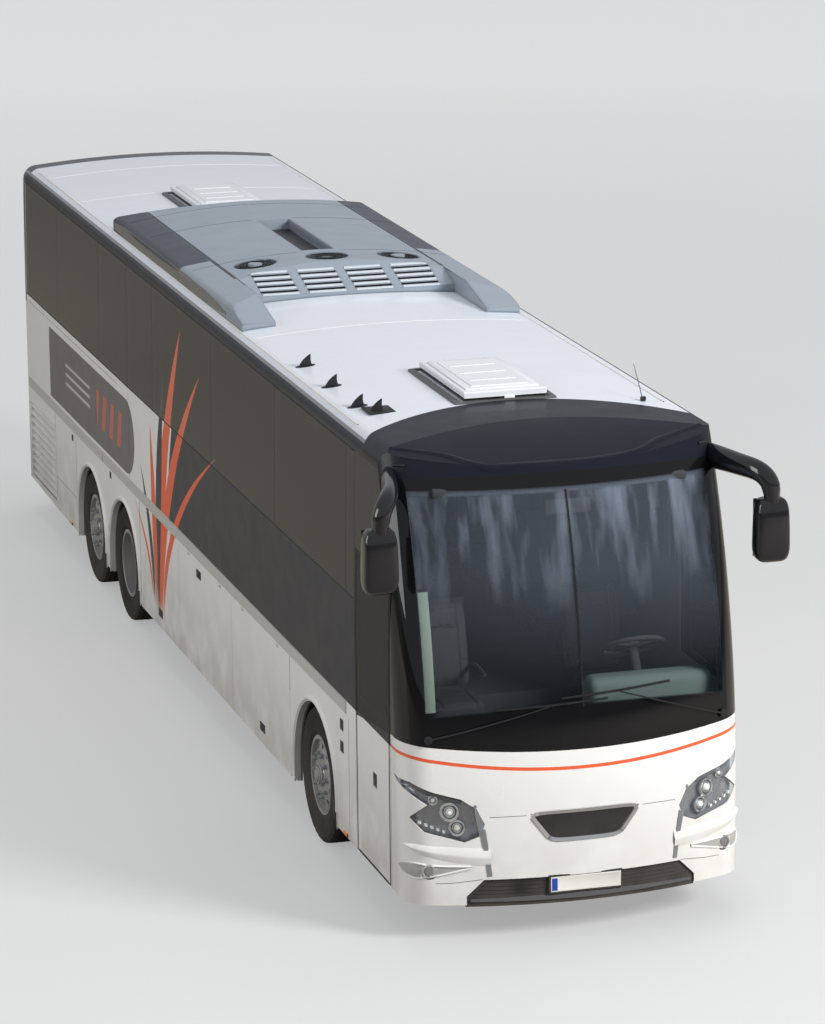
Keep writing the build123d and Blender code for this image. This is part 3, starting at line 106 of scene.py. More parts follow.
class Flow:
    """A number that runs through a recipe's nodes; sums on it add Math nodes."""

    def __init__(self, recipe: "Recipe", socket: Socket) -> None:
        """Wraps one output socket of a recipe."""
        self.recipe = recipe
        self.socket = socket

    def __add__(self, other: "Flow | float") -> "Flow":
        """The sum."""
        return self.recipe.maths("ADD", self, other)

    __radd__ = __add__

    def __sub__(self, other: "Flow | float") -> "Flow":
        """The difference."""
        return self.recipe.maths("SUBTRACT", self, other)

    def __rsub__(self, other: float) -> "Flow":
        """The difference from a plain number."""
        return self.recipe.maths("SUBTRACT", other, self)

    def __mul__(self, other: "Flow | float") -> "Flow":
        """The product."""
        return self.recipe.maths("MULTIPLY", self, other)

    __rmul__ = __mul__

    def __truediv__(self, other: "Flow | float") -> "Flow":
        """The quotient."""
        return self.recipe.maths("DIVIDE", self, other)

    def __abs__(self) -> "Flow":
        """The size without its sign."""
        return self.recipe.maths("ABSOLUTE", self)

    def most(self, other: "Flow | float") -> "Flow":
        """The larger of two."""
        return self.recipe.maths("MAXIMUM", self, other)

    def root(self) -> "Flow":
        """The square root."""
        return self.recipe.maths("SQRT", self)

    def part(self) -> "Flow":
        """What is left above the whole number."""
        return self.recipe.maths("FRACT", self)

    def above(self, edge: "Flow | float", soft: float = 0.003) -> "Flow":
        """A mask that passes from 0 to 1 at an edge, over a soft width."""
        return self.recipe.maths("MULTIPLY_ADD", self - edge, 1 / soft, 0.5, clamp=True)

    def below(self, edge: "Flow | float", soft: float = 0.003) -> "Flow":
        """A mask that is 1 where the number stays under an edge."""
        return 1.0 - self.above(edge, soft)

    def within(self, low: float, high: float, soft: float = 0.003) -> "Flow":
        """A mask that is 1 between two numbers."""
        return self.above(low, soft) * self.below(high, soft)


def distance(across: Flow, along: Flow) -> Flow:
    """Distance of a point from a centre, from its two parts."""
    return (across * across + along * along).root()


class Recipe:
    """The node tree of one finish."""

    def __init__(self, name: str) -> None:
        """Starts an empty material."""
        self.material = bpy.data.materials.new(name)
        self.material.use_nodes = True
        self.tree = self.material.node_tree
        self.tree.nodes.clear()
        self.object_place = self.node("ShaderNodeTexCoord").outputs["Object"]

    def node(
        self,
        kind: str,
        settings: dict[str, object] | None = None,
        inputs: dict[str | int, object] | None = None,
    ) -> bpy.types.Node:
        """Adds a node.

        Args:
            kind: The node's type.
            settings: Values of its settings, set before its sockets.
            inputs: Values or links of its sockets, by name or number.

        Returns:
            The node.
        """
        made = self.tree.nodes.new(kind)
        for name, value in (settings or {}).items():
            setattr(made, name, value)
        for name, value in (inputs or {}).items():
            value = value.socket if isinstance(value, Flow) else value
            if isinstance(value, Socket):
                self.tree.links.new(value, made.inputs[name])
            else:
                made.inputs[name].default_value = value
        return made

    def maths(self, operation: str, *terms: Flow | float, clamp: bool = False) -> Flow:
        """A Math node's result."""
        settings = {"operation": operation, "use_clamp": clamp}
        return Flow(self, self.node("ShaderNodeMath", settings, dict(enumerate(terms))).outputs[0])

    def place(self) -> tuple[Flow, Flow, Flow]:
        """X, Y and Z of the shaded point on its object."""
        axes = self.node("ShaderNodeSeparateXYZ", inputs={0: self.object_place})
        return tuple(Flow(self, axis) for axis in axes.outputs)

    def noise(self, scale: float, detail: float = 3.0, stretch: Colour = (1, 1, 1)) -> Flow:
        """A noise between 0 and 1.

        Args:
            scale: Grains in a metre.
            detail: Layers of finer noise.
            stretch: Scale along each axis.

        Returns:
            The noise.
        """
        place = self.node("ShaderNodeMapping", inputs={"Vector": self.object_place, "Scale": stretch})
        inputs = {"Vector": place.outputs[0], "Scale": scale, "Detail": detail}
        return Flow(self, self.node("ShaderNodeTexNoise", inputs=inputs).outputs[0])

    def mix(self, factor: Flow | float, first: object, second: object) -> Socket:
        """A colour between two colours or colour sockets."""
        tints = [(*c, 1) if isinstance(c, tuple) else c for c in (first, second)]
        inputs = {0: factor, 6: tints[0], 7: tints[1]}
        return self.node("ShaderNodeMix", {"data_type": "RGBA"}, inputs).outputs[2]

    def bump(self, height: Flow, strength: float, distance: float, soft: float = 0.0) -> Socket:
        """A normal raised by a height.

        Args:
            height: The relief.
            strength: How much of it shows.
            distance: Its depth.
            soft: Radius by which edges look rounded.

        Returns:
            The normal.
        """
        inputs = {"Strength": strength, "Distance": distance, "Height": height}
        if soft:
            bevel = self.node("ShaderNodeBevel", {"samples": 4}, {"Radius": soft})
            inputs["Normal"] = bevel.outputs[0]
        return self.node("ShaderNodeBump", inputs=inputs).outputs[0]

    def close(self, **sockets: object) -> Material:
        """Ends the recipe in one Principled shader.

        Args:
            sockets: Values or links of the shader, with underlines for the spaces in a name.

        Returns:
            The finished material.
        """
        inputs = {name.replace("_", " "): value for name, value in sockets.items()}
        shader = self.node("ShaderNodeBsdfPrincipled", inputs=inputs)
        self.node("ShaderNodeOutputMaterial", inputs={0: shader.outputs[0]})
        return self.material


PATCHES = 5.0
ROUGHNESS_SPREAD = 0.12
COAT_ROUGHNESS = 0.04
GRAIN_DEEP = 0.002
DUST_HEIGHT = 0.75
DUST_ROUGHNESS = 0.4

DUST_TINT: Colour = (0.30, 0.26, 0.21)
WHITE_TINT: Colour = (0.80, 0.79, 0.76)
ORANGE_TINT: Colour = (0.78, 0.11, 0.035)
NAVY_TINT: Colour = (0.010, 0.014, 0.026)
BAND_TINT: Colour = (0.13, 0.12, 0.125)
STRIP_TINT: Colour = (0.50, 0.49, 0.46)
LINING_TINT: Colour = (0.20, 0.20, 0.205)
# Painted shadow under the hatch lids.
LID_SHADOW_TINT: Colour = (0.008, 0.008, 0.010)
WING_TINT: Colour = (0.030, 0.036, 0.058)
# Painted shade in the roof unit's wells; also the dark of its grooves, which are joints.
WELL_SHADE_AND_GROOVE_TINT: Colour = (0.006, 0.006, 0.008)
# Painted reflection: the pale sky that the windscreen's upper part shows.
SKY_REFLECTION_TINT: Colour = (0.21, 0.25, 0.31)
PRINT_TINT: Colour = (0.004, 0.004, 0.005)


@dataclass(frozen=True)
class Finish:
    """A finish with mottled colour, fine grain and road dust.

    Mottle darkens patches, grain is relief, dust films low places and adds to the roughness, glow is
    light of its own, gleam is the specular level and soft rounds edges in the shading.
    """

    name: str
    colour: Colour
    roughness: float = 0.5
    metallic: float = 0.0
    coat: float = 0.0
    mottle: float = 0.12
    grain: float = 0.15
    grain_scale: float = 260.0
    dust: float = 0.0
    glow: float = 0.0
    gleam: float = 0.5
    soft: float = 0.0

    def tint(self, recipe: Recipe, base: Socket) -> Socket:
        """The colour that lies over the base; plain finishes leave the base."""
        return base

    def material(self) -> Material:
        """Makes the material."""
        recipe = Recipe(self.name)
        patches = recipe.noise(PATCHES)
        darker = tuple(part * (1 - self.mottle) for part in self.colour)
        colour = self.tint(recipe, recipe.mix(patches, self.colour, darker))
        roughness = patches * ROUGHNESS_SPREAD + (self.roughness - ROUGHNESS_SPREAD / 2)
        if self.dust:
            low = recipe.place()[2].below(DUST_HEIGHT, 0.9)
            film = low * recipe.noise(3.0, 6.0).above(0.42, 0.3) * self.dust
            colour = recipe.mix(film, colour, DUST_TINT)
            roughness = roughness + film * DUST_ROUGHNESS
        glow = {"Emission_Color": (*self.colour, 1), "Emission_Strength": self.glow} if self.glow else {}
        return recipe.close(
            Base_Color=colour,
            Roughness=roughness,
            Metallic=self.metallic,
            Coat_Weight=self.coat,
            Coat_Roughness=COAT_ROUGHNESS,
            Specular_IOR_Level=self.gleam,
            Normal=recipe.bump(recipe.noise(self.grain_scale), self.grain, GRAIN_DEEP, self.soft),
            **glow,
        )


@dataclass(frozen=True)
class Blade:
    """One pointed blade of the fan on the side: where it stands, its reach, its half width and lean."""

    y: float
    low: float
    high: float
    half: float
    colour: Colour
    lean: float

    def mask(self, y: Flow, z: Flow) -> Flow:
        """A mask that is 1 inside the blade."""
        share = (z - self.low) / (self.high - self.low)
        bow = share * (1.0 - share)
        across = y + share * share * self.lean - self.y
        return (bow * (4.0 * self.half)).above(abs(across)) * z.within(self.low, self.high)


BLADES = (
    Blade(0.86, 0.40, 2.30, 0.075, ORANGE_TINT, 2.05),
    Blade(0.94, 0.38, 2.86, 0.115, ORANGE_TINT, 1.55),
    Blade(1.00, 0.36, 3.12, 0.130, ORANGE_TINT, 0.92),
    Blade(1.06, 0.38, 2.62, 0.105, NAVY_TINT, 0.34),
    Blade(1.14, 0.42, 2.08, 0.085, ORANGE_TINT, -0.12),
    Blade(1.22, 0.46, 1.62, 0.060, NAVY_TINT, -0.46),
    Blade(1.28, 0.50, 1.24, 0.040, ORANGE_TINT, -0.66),
)


@dataclass(frozen=True)
class SideLivery(Finish):
    """White flank with the dark field, the fan of blades, the grey band and the strip."""

    band_front: float = 2.25
    band_rear: float = 5.66
    band_middle: float = 1.74
    band_half: float = 0.34
    field_low: float = 1.37
    field_slant: float = 0.32
    field_end: float = 1.13
    eaves: float = 3.30
    strip: tuple[float, float] = (1.268, 1.371)
    strip_start: float = 1.75
    inner_x: float = 1.225

    def tint(self, recipe: Recipe, base: Socket) -> Socket:
        """Paints the design by place along and up the side."""
        x, y, z = recipe.place()
        rise = z - self.band_middle
        reach = distance((self.band_front - y).most(0.0), rise)
        band = reach.below(self.band_half) * y.below(self.band_rear)
        colour = recipe.mix(band, base, BAND_TINT)
        pips = (y * 3.1 + z * 0.9).part().within(0.18, 0.62, 0.02) * y.within(2.4, 3.5)
        bars = (z * 11.0).part().within(0.25, 0.6, 0.02) * y.within(3.8, 4.9)
        for marks, half, share, tint in ((pips, 0.17, 0.6, ORANGE_TINT), (bars, 0.13, 0.55, WHITE_TINT)):
            colour = recipe.mix(marks * abs(rise).below(half) * share, colour, tint)
        field = z.above(self.field_low) * (y + z * self.field_slant).below(self.field_end)
        colour = recipe.mix(field.most(z.above(self.eaves)), colour, NAVY_TINT)
        for blade in BLADES:
            colour = recipe.mix(blade.mask(y, z), colour, blade.colour)
        strip = z.within(*self.strip, 0.001) * y.above(at(self.strip_start))
        colour = recipe.mix(strip, colour, STRIP_TINT)
        return recipe.mix(abs(x).below(self.inner_x), colour, LINING_TINT)


@dataclass(frozen=True)
class FrontLivery(Finish):
    """White mask with its stripe under the windscreen and dark pillars."""

    stripe_height: float = 1.262
    stripe_bow: float = 0.0733
    stripe_half: float = 0.0125
    pillar_height: float = 1.392
    pillar_bow: float = 0.045

    def tint(self, recipe: Recipe, base: Socket) -> Socket:
        """Paints the stripe and the pillars, both higher towards the sides."""
        x, _, z = recipe.place()
        square = x * x
        stripe = abs(z - (square * self.stripe_bow + self.stripe_height)).below(self.stripe_half, 0.001)
        colour = recipe.mix(stripe, base, ORANGE_TINT)
        return recipe.mix(z.above(square * self.pillar_bow + self.pillar_height), colour, NAVY_TINT)


@dataclass(frozen=True)
class RoofPaint(Finish):
    """White roof, dark at its edges and lined inside.

    Its cool tint is a painted sky reflection, and painted shadow darkens the hatches' curbs under their
    lids.
    """

    tail_y: float = 6.62
    eaves_x: float = 1.228
    curb_half: float = 0.313
    curb_low: float = 3.5175
    lining_top: float = 3.485
    lining_bow: float = 0.045

    def tint(self, recipe: Recipe, base: Socket) -> Socket:
        """Paints the tail and eaves, painted shadow on the hatches' curbs and the inside."""
        x, y, z = recipe.place()
        edge = y.above(self.tail_y, 0.01).most(abs(x).above(self.eaves_x))
        colour = recipe.mix(edge, base, NAVY_TINT)
        # Painted shadow: the curbs under the hatch lids are darkened where the lids shade them.
        for start in HATCHES.values():
            long = y.within(at(start - 0.002), at(start + HATCH_LONG + 0.002))
            curb = abs(x).below(self.curb_half) * long * z.above(self.curb_low)
            colour = recipe.mix(curb, colour, LID_SHADOW_TINT)
        return recipe.mix(z.below(x * x * -self.lining_bow + self.lining_top), colour, LINING_TINT)


@dataclass(frozen=True)
class TailPaint(Finish):
    """Rear wall, white below, dark round the window and lined inside."""

    dark_low: float = 2.12
    inner_y: float = 6.75

    def tint(self, recipe: Recipe, base: Socket) -> Socket:
        """Paints the dark upper field and the inside."""
        _, y, z = recipe.place()
        colour = recipe.mix(z.above(self.dark_low), base, NAVY_TINT)
        return recipe.mix(y.below(self.inner_y), colour, LINING_TINT)


@dataclass(frozen=True)
class UnitPaint(Finish):
    """Blue-grey roof unit, dark wings, black painted shade in the wells behind its fans, slats and slot.
    """

    slot: tuple[float, float] = (7.212, 8.708)
    slot_half: float = 0.139
    fan_radius: float = 0.178
    louvres: tuple[float, float] = (6.14, 6.53)
    louvres_half: float = 0.78
    ramp: tuple[float, float, float] = (6.11, 3.545, 0.155 / 0.59)
    wing_x: float = 0.905
    groove_x: float = 0.895

    def tint(self, recipe: Recipe, base: Socket) -> Socket:
        """Paints shade black into the wells, the grooves black and the wings dark."""
        x, y, z = recipe.place()
        # Painted shade: the slot, the fans' wells and the sunk louvres are painted black for the shadow in
        # them.
        dark = abs(x).below(self.slot_half) * y.within(*map(at, self.slot)) * z.below(UNIT_TOP - 0.01)
        for middle in FAN_XS:
            reach = distance(x - middle, y - at(FAN_STATION))
            dark = dark.most(reach.below(self.fan_radius) * z.below(unit_top(middle) - 0.03))
        foot, height, slope = self.ramp
        sunk = (z - ((y - at(foot)) * slope + height)).below(-0.004)
        louvres = y.within(*map(at, self.louvres)) * abs(x).below(self.louvres_half) * sunk
        wing = abs(x).above(self.wing_x) * (y + z * 0.8).above(at(7.35) + 2.9) * z.above(3.40)
        groove = abs(abs(x) - self.groove_x).below(0.008) * y.above(at(6.5))
        colour = recipe.mix(wing, base, WING_TINT)
        return recipe.mix(dark.most(louvres).most(groove), colour, WELL_SHADE_AND_GROOVE_TINT)


@dataclass(frozen=True)
class Glazing(Finish):
    """Glass with a dark printed edge; it lets part of the light through.

    Alpha is the share that it holds back. Bars puts the fan's blades on it, and screen gives it the
    windscreen's print, a painted sky reflection on its upper part and painted streaks of reflected light.
    """

    alpha: float = 0.6
    shine: float = 0.5
    bars: bool = False
    screen: bool = False
    print_low: float = 1.71
    print_high: float = 3.17
    print_x: float = 1.105

    def material(self) -> Material:
        """Makes the material."""
        recipe = Recipe(self.name)
        x, y, z = recipe.place()
        colour = recipe.mix(recipe.noise(2.0), self.colour, tuple(c * 0.8 for c in self.colour))
        solid = recipe.noise(1.3) * 0.03
        for blade in BLADES if self.bars else ():
            mark = blade.mask(y, z)
            colour = recipe.mix(mark, colour, blade.colour)
            solid = solid.most(mark)
        if self.screen:
            border = z.below(self.print_low - x * x * 0.05, 0.02).most(z.above(self.print_high, 0.05))
            border = border.most(abs(x).above(self.print_x, 0.008))
            # Painted reflection: streaks of reflected light that make the glass opaque, and a pale sky on
            # its upper part.
            reflection_streaks = recipe.noise(2.4, 4.0, (2.4, 1.0, 0.30)).above(0.52, 0.30)
            reflection_veil = reflection_streaks * z.above(2.55, 0.8) * 0.48
            colour = recipe.mix(z.above(2.2, 0.8), colour, SKY_REFLECTION_TINT)
            colour = recipe.mix(border, colour, PRINT_TINT)
            solid = solid.most(reflection_veil).most(border)
        glaze = recipe.node("ShaderNodeLayerWeight", inputs={"Blend": 0.12}).outputs[0]
        return recipe.close(
            Base_Color=colour,
            Roughness=recipe.noise(3.0) * 0.03 + 0.01,
            IOR=1.5,
            Specular_IOR_Level=self.shine,
            Alpha=solid.most(self.alpha).most(Flow(recipe, glaze)),
            Coat_Weight=self.coat,
            Coat_Roughness=0.01,
        )


@dataclass(frozen=True)
class WovenCloth(Finish):
    """Seat cloth with a small woven figure."""

    figure: Colour = (0.05, 0.16, 0.24)
    repeats: float = 22.0

    def tint(self, recipe: Recipe, base: Socket) -> Socket:
        """Weaves the small figure into the cloth."""
        x, y, z = recipe.place()
        run, rise = x * self.repeats, y * self.repeats + z * self.repeats
        dots = run.part().within(0.3, 0.6, 0.1) * rise.part().within(0.3, 0.6, 0.1)
        return recipe.mix(dots * 0.7, base, self.figure)


class Shade(Enum):
    """Every finish on the coach."""

    SIDE = SideLivery(
        "coach_side_paint", WHITE_TINT, 0.34, coat=0.05, mottle=0.05, grain=0.03, dust=0.45, gleam=0.28
    )
    MASK = FrontLivery("coach_front_paint", WHITE_TINT, 0.28, coat=0.6, mottle=0.04, grain=0.03, dust=0.25)
    WHITE = Finish("moulding_white", WHITE_TINT, 0.3, coat=0.5, mottle=0.05, grain=0.03, dust=0.25)
    # The roof's cool blue-white is white paint with a painted sky reflection in its colour.
    ROOF = RoofPaint("roof_paint", (0.70, 0.73, 0.79), 0.34, coat=0.4, mottle=0.07, grain=0.04)
    TAIL = TailPaint("tail_paint", WHITE_TINT, 0.3, coat=0.5, mottle=0.05, grain=0.03, dust=0.7)
    LID = Finish("hatch_lid", (0.66, 0.68, 0.71), 0.4, coat=0.2, mottle=0.05, grain=0.03)
    CAP = Finish("cap_paint", (0.007, 0.009, 0.016), 0.38, coat=0.08, mottle=0.3, grain=0.03, gleam=0.28)
    UNIT = UnitPaint("roof_unit_paint", (0.27, 0.31, 0.36), 0.42, coat=0.2, grain=0.1, soft=0.045)
    UNIT_DARK = Finish("roof_unit_side_panel", (0.03, 0.034, 0.042), 0.16, coat=0.8, grain=0.02)
    # The slats are real, and their light silver is partly a painted highlight on their lit tops.
    UNIT_SLAT = Finish("roof_unit_slat", (0.52, 0.56, 0.60), 0.4, coat=0.1)
    TRIM = Finish("black_plastic", (0.018, 0.018, 0.020), 0.5, mottle=0.3, grain=0.5, dust=0.15)
    # Painted shade: the light grey of the shallow fog lamp recesses in the white mask.
    SHADED_TROUGH = Finish("fog_trough_shade", (0.40, 0.39, 0.37), 0.4, coat=0.3, grain=0.05)
    LIP = Finish("grey_plastic", (0.10, 0.10, 0.105), 0.5, grain=0.4)
    GLOSS = Finish("gloss_black", (0.008, 0.008, 0.010), 0.14, coat=0.6, grain=0.02)
    SEAM = Finish("panel_seam", (0.03, 0.03, 0.032), 0.7)
    RUBBER = Finish("seal_rubber", (0.014, 0.014, 0.015), 0.65, grain=0.3)
    CHROME = Finish("bright_metal", (0.86, 0.87, 0.88), 0.09, 1.0, mottle=0.03, grain=0.01)
    SATIN = Finish("satin_silver", (0.42, 0.44, 0.46), 0.32, 0.75, grain=0.05)
    REFLECTOR = Finish("lamp_reflector", (0.38, 0.39, 0.41), 0.27, 0.7, grain=0.02)
    LENS = Glazing("lamp_lens", (0.50, 0.53, 0.56), coat=0.5, alpha=0.05)
    BULB = Finish("lamp_bulb", (0.95, 0.95, 0.90), 0.1, coat=1.0, glow=0.25)
    AMBER = Finish("amber_lens", (0.80, 0.26, 0.02), 0.12, coat=1.0, grain=0.02)
    RED = Finish("red_lens", (0.42, 0.01, 0.012), 0.12, coat=1.0, grain=0.3, grain_scale=90.0)
    SCREEN = Glazing("windscreen_glass", (0.02, 0.03, 0.035), coat=0.1, alpha=0.10, shine=0.4, screen=True)
    PANES = Glazing("side_glass", (0.010, 0.008, 0.007), alpha=0.88, shine=0.40, bars=True)
    DOOR_PANE = Glazing("door_glass", (0.012, 0.012, 0.012), alpha=0.62, shine=0.25)
    MIRROR = Finish("mirror_glass", (0.80, 0.83, 0.86), 0.03, 1.0, mottle=0.02, grain=0.0)
    RIM = Finish("rim_silver", (0.50, 0.51, 0.52), 0.34, 0.7, coat=0.2, mottle=0.2, grain=0.1, dust=0.5)
    TYRE = Finish("tyre_rubber", (0.014, 0.014, 0.014), 0.8, mottle=0.4, grain=0.5, dust=0.14, gleam=0.3)
    FRAME = Finish("underbody_paint", (0.028, 0.028, 0.030), 0.6, grain=0.5, dust=0.6)
    ENGINE = Finish("cast_iron", (0.09, 0.09, 0.095), 0.6, 0.3, grain=0.8, grain_scale=120.0, dust=0.5)
    DECK = Finish("studded_floor", (0.09, 0.09, 0.10), 0.7, grain=0.6, grain_scale=60.0)
    DASH = Finish("dashboard_plastic", (0.045, 0.047, 0.050), 0.6, grain=0.6, grain_scale=400.0)
    # On the dash hood this pale tone is partly painted sunlight falling on the binnacle.
    DASH_PALE = Finish("dashboard_pale", (0.15, 0.20, 0.19), 0.55, grain=0.5, grain_scale=400.0)
    PILLAR = Finish("pillar_cover", (0.40, 0.52, 0.43), 0.6, grain=0.4, grain_scale=400.0)
    LINING = Finish("cabin_lining", LINING_TINT, 0.85, grain=0.6, grain_scale=300.0)
    CLOTH = WovenCloth("seat_cloth", (0.030, 0.036, 0.052), 0.95, grain=0.8, grain_scale=700.0)
    LEATHER = Finish("seat_leather", (0.045, 0.045, 0.05), 0.5, grain=0.5, grain_scale=180.0)
    PLATE = Finish("number_plate", (0.72, 0.71, 0.66), 0.35, grain=0.05)
    PLATE_BLUE = Finish("number_plate_end", (0.02, 0.06, 0.35), 0.35, grain=0.05)

    def made(self) -> Material:
        """The material, made at its first use."""
        return bpy.data.materials.get(self.value.name) or self.value.material()


class Form(Enum):
    """Primitives from which pieces are shaped."""

    CUBE = "primitive_cube_add"
    CYLINDER = "primitive_cylinder_add"
    SPHERE = "primitive_uv_sphere_add"
    GRID = "primitive_grid_add"
    TORUS = "primitive_torus_add"


def named(*starts: str) -> list[Piece]:
    """The CAD nodes whose names start with these words."""
    return [node for start in starts for name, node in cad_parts.items() if name.startswith(start)]


def only(*pieces: Piece) -> None:
    """Selects these pieces alone and makes the first one active."""
    bpy.ops.object.select_all(action="DESELECT")
    for piece in pieces:
        piece.select_set(True)
    bpy.context.view_layer.objects.active = pieces[0]


def settled(piece: Piece) -> Piece:
    """Puts the piece's place, turn and scale into its mesh."""
    only(piece)
    bpy.ops.object.transform_apply(location=True, rotation=True, scale=True)
    return piece


def primitive(form: Form, scale: Place = (1, 1, 1), **sizes: object) -> Piece:
    """Adds a primitive, scaled and settled."""
    bpy.ops.object.select_all(action="DESELECT")
    getattr(bpy.ops.mesh, form.value)(**sizes)
    bpy.context.object.scale = scale
    return settled(bpy.context.object)


def modified(piece: Piece, kind: str, **settings: object) -> Piece:
    """Adds one modifier and applies it."""
    only(piece)
    made = piece.modifiers.new(kind.title(), kind)
    for name, value in settings.items():
        setattr(made, name, value)
    bpy.ops.object.modifier_apply(modifier=made.name)
    return piece


@contextmanager
def editing(piece: Piece, pick: Pick = lambda face: True) -> Iterator[None]:
    """Edit mode with the picked faces selected, all of them unless told otherwise."""
    only(piece)
    bpy.ops.object.mode_set(mode="EDIT")
    bpy.ops.mesh.select_mode(type="FACE")
    bpy.ops.mesh.select_all(action="DESELECT")
    bpy.ops.object.mode_set(mode="OBJECT")
    for face in piece.data.polygons:
        face.select = pick(face)
    bpy.ops.object.mode_set(mode="EDIT")
    yield
    bpy.ops.object.mode_set(mode="OBJECT")


def inset(piece: Piece, pick: Pick, *steps: tuple[float, float]) -> Piece:
    """Insets the picked faces in steps of a thickness and a depth."""
    with editing(piece, pick):
        for thickness, depth in steps:
            bpy.ops.mesh.inset(thickness=thickness, depth=depth)
    return piece


def tidied(piece: Piece) -> Piece:
    """Merges doubled points and turns every face outwards."""
    with editing(piece):
        bpy.ops.mesh.remove_doubles(threshold=0.00005)
        bpy.ops.mesh.normals_make_consistent(inside=False)
    return piece


def joined(pieces: Sequence[Piece]) -> Piece:
    """Joins pieces into the first one."""
    only(*pieces)
    if len(pieces) > 1:
        bpy.ops.object.join()
    return bpy.context.object


def copied(piece: Piece, move: Matrix) -> Piece:
    """A copy of a settled piece with its own mesh, moved."""
    twin = piece.copy()
    twin.data = piece.data.copy()
    twin.data.transform(move)
    if move.determinant() < 0:
        twin.data.flip_normals()
    bpy.context.scene.collection.objects.link(twin)
    return twin


def moved(piece: Piece, move: Matrix) -> Piece:
    """Moves a settled piece in its own mesh."""
    piece.data.transform(move)
    return piece


def mirrored(piece: Piece) -> Piece:
    """Joins a settled piece with its mirror image on the coach's other side."""
    return joined([piece, copied(piece, Matrix.Scale(-1, 4, Vector((1, 0, 0))))])


def upright(axis: Vector) -> Quaternion:
    """The turn that lays Z along an axis."""
    return axis.to_track_quat("Z", "Y")


def loft(across: int, along: int, place: Shape, closed: bool = True) -> Piece:
    """Shapes a grid into a curved skin.

    Args:
        across: Faces across the grid.
        along: Faces along the grid.
        place: Where a point goes, from its share across and along.
        closed: Whether the skin's edges meet, so that they are merged.

    Returns:
        The skin.
    """
    skin = primitive(Form.GRID, x_subdivisions=across, y_subdivisions=along, size=1)
    for point in skin.data.vertices:
        point.co = place(point.co.x + 0.5, point.co.y + 0.5)
    return tidied(skin) if closed else skin


def push(value: float, power: float) -> float:
    """A sine or cosine pushed towards its ends, the more the smaller the power."""
    return math.copysign(abs(value) ** power, value)


def softened(power: float, bend: Callable[[float, float, float], Place]) -> Shape:
    """The place function of a box with softened edges.

    Args:
        power: How far the sphere that it starts from is pushed towards a box, from 1 down to 0.
        bend: Where a point goes, from its shares of the box's half sizes.

    Returns:
        The function for loft.
    """

    def place(u: float, v: float) -> Place:
        """A point from its shares round and up."""
        turn, tip = 2 * math.pi * u, math.pi * (v - 0.5)
        wide = push(math.cos(tip), power)
        across, along = push(math.cos(turn), power), push(math.sin(turn), power)
        return bend(wide * across, wide * along, push(math.sin(tip), power))

    return place


def rounded_box(size: Place, centre: Place, edge: float, segments: int = 3) -> Piece:
    """A box with bevelled edges."""
    box = primitive(Form.CUBE, size, size=1, location=centre)
    return modified(box, "BEVEL", width=edge, segments=segments, limit_method="NONE")


def disc(
    centre: Place, axis: Vector, radius: float, depth: float, edge: float = 0.0, sides: int = 24
) -> Piece:
    """A round plug that stands along an axis from its centre, with a bevelled rim."""
    middle = Vector(centre) + axis.normalized() * depth / 2
    sizes = {"radius": radius, "depth": depth, "vertices": sides}
    plug = primitive(Form.CYLINDER, **sizes, location=middle, rotation=upright(axis).to_euler())
    return modified(plug, "BEVEL", width=edge, segments=2, limit_method="ANGLE") if edge else plug


def ring(centre: Place, axis: Vector, radius: float, thick: float, sides: int = 32) -> Piece:
    """A round ring about an axis."""
    sizes = {"major_radius": radius, "minor_radius": thick, "major_segments": sides, "minor_segments": 8}
    return primitive(Form.TORUS, **sizes, location=centre, rotation=upright(axis).to_euler())


def ball(centre: Place, radius: float, scale: Place = (1, 1, 1), axis: Vector = UP) -> Piece:
    """A ball, or one that is squashed and then turned to an axis."""
    sizes = {"segments": 24, "ring_count": 12, "radius": radius}
    return primitive(Form.SPHERE, scale, **sizes, location=centre, rotation=upright(axis).to_euler())


def spline(points: Sequence[Place], steps: int) -> list[Vector]:
    """Points on a smooth curve through the given ones, with some steps from each to the next."""
    knots = [Vector(points[0]), *map(Vector, points), Vector(points[-1])]
    made = []
    for a, b, c, d in zip(knots, knots[1:], knots[2:], knots[3:]):
        for t in (step / steps for step in range(steps)):
            square, cube = 2 * a - 5 * b + 4 * c - d, 3 * b - a - 3 * c + d
            made.append(0.5 * (2 * b + (c - a) * t + square * t**2 + cube * t**3))
    return [*made, knots[-1]]


def straight(points: Sequence[Place], steps: int, loop: bool = False) -> list[Vector]:
    """Points on the straight runs between the given ones, with some steps from each to the next."""
    made = []
    for first, last in zip(points, (*points[1:], points[0]) if loop else points[1:]):
        for share in (step / steps for step in range(steps)):
            made.append(Vector([a + (b - a) * share for a, b in zip(first, last)]))
    return made if loop else [*made, Vector(points[-1])]


def tube(course: Sequence[Vector], half: Sequence[tuple[float, float]], sides: int = 12) -> Piece:
    """A closed tube along a course, of an oval section.

    Args:
        course: Points along its middle.
        half: Half width and half height at each point, the height nearest to upright.
        sides: Faces round the section.

    Returns:
        The tube.
    """
    last = len(course) - 1
    frames = []
    for i, point in enumerate(course):
        run = (course[min(i + 1, last)] - course[max(i - 1, 0)]).normalized()
        side = run.cross(UP)
        side = side.normalized() if side.length > 0.05 else Vector((1, 0, 0))
        frames.append((point, side, side.cross(run).normalized()))

    def place(u: float, v: float) -> Vector:
        """A point round the section at a share of the length; both ends close to a point."""
        row = round(v * (last + 2)) - 1
        point, side, up = frames[min(max(row, 0), last)]
        wide, high = half[row] if 0 <= row <= last else (0.0, 0.0)
        angle = 2 * math.pi * u
        return point + side * wide * math.cos(angle) + up * high * math.sin(angle)

    return loft(sides, last + 2, place)


def line(seat: View, points: Sequence[Place], steps: int, loop: bool = False) -> list[Seat]:
    """Seats that a skin's view meets along straight runs."""
    return [seat(*point) for point in straight(points, steps, loop)]


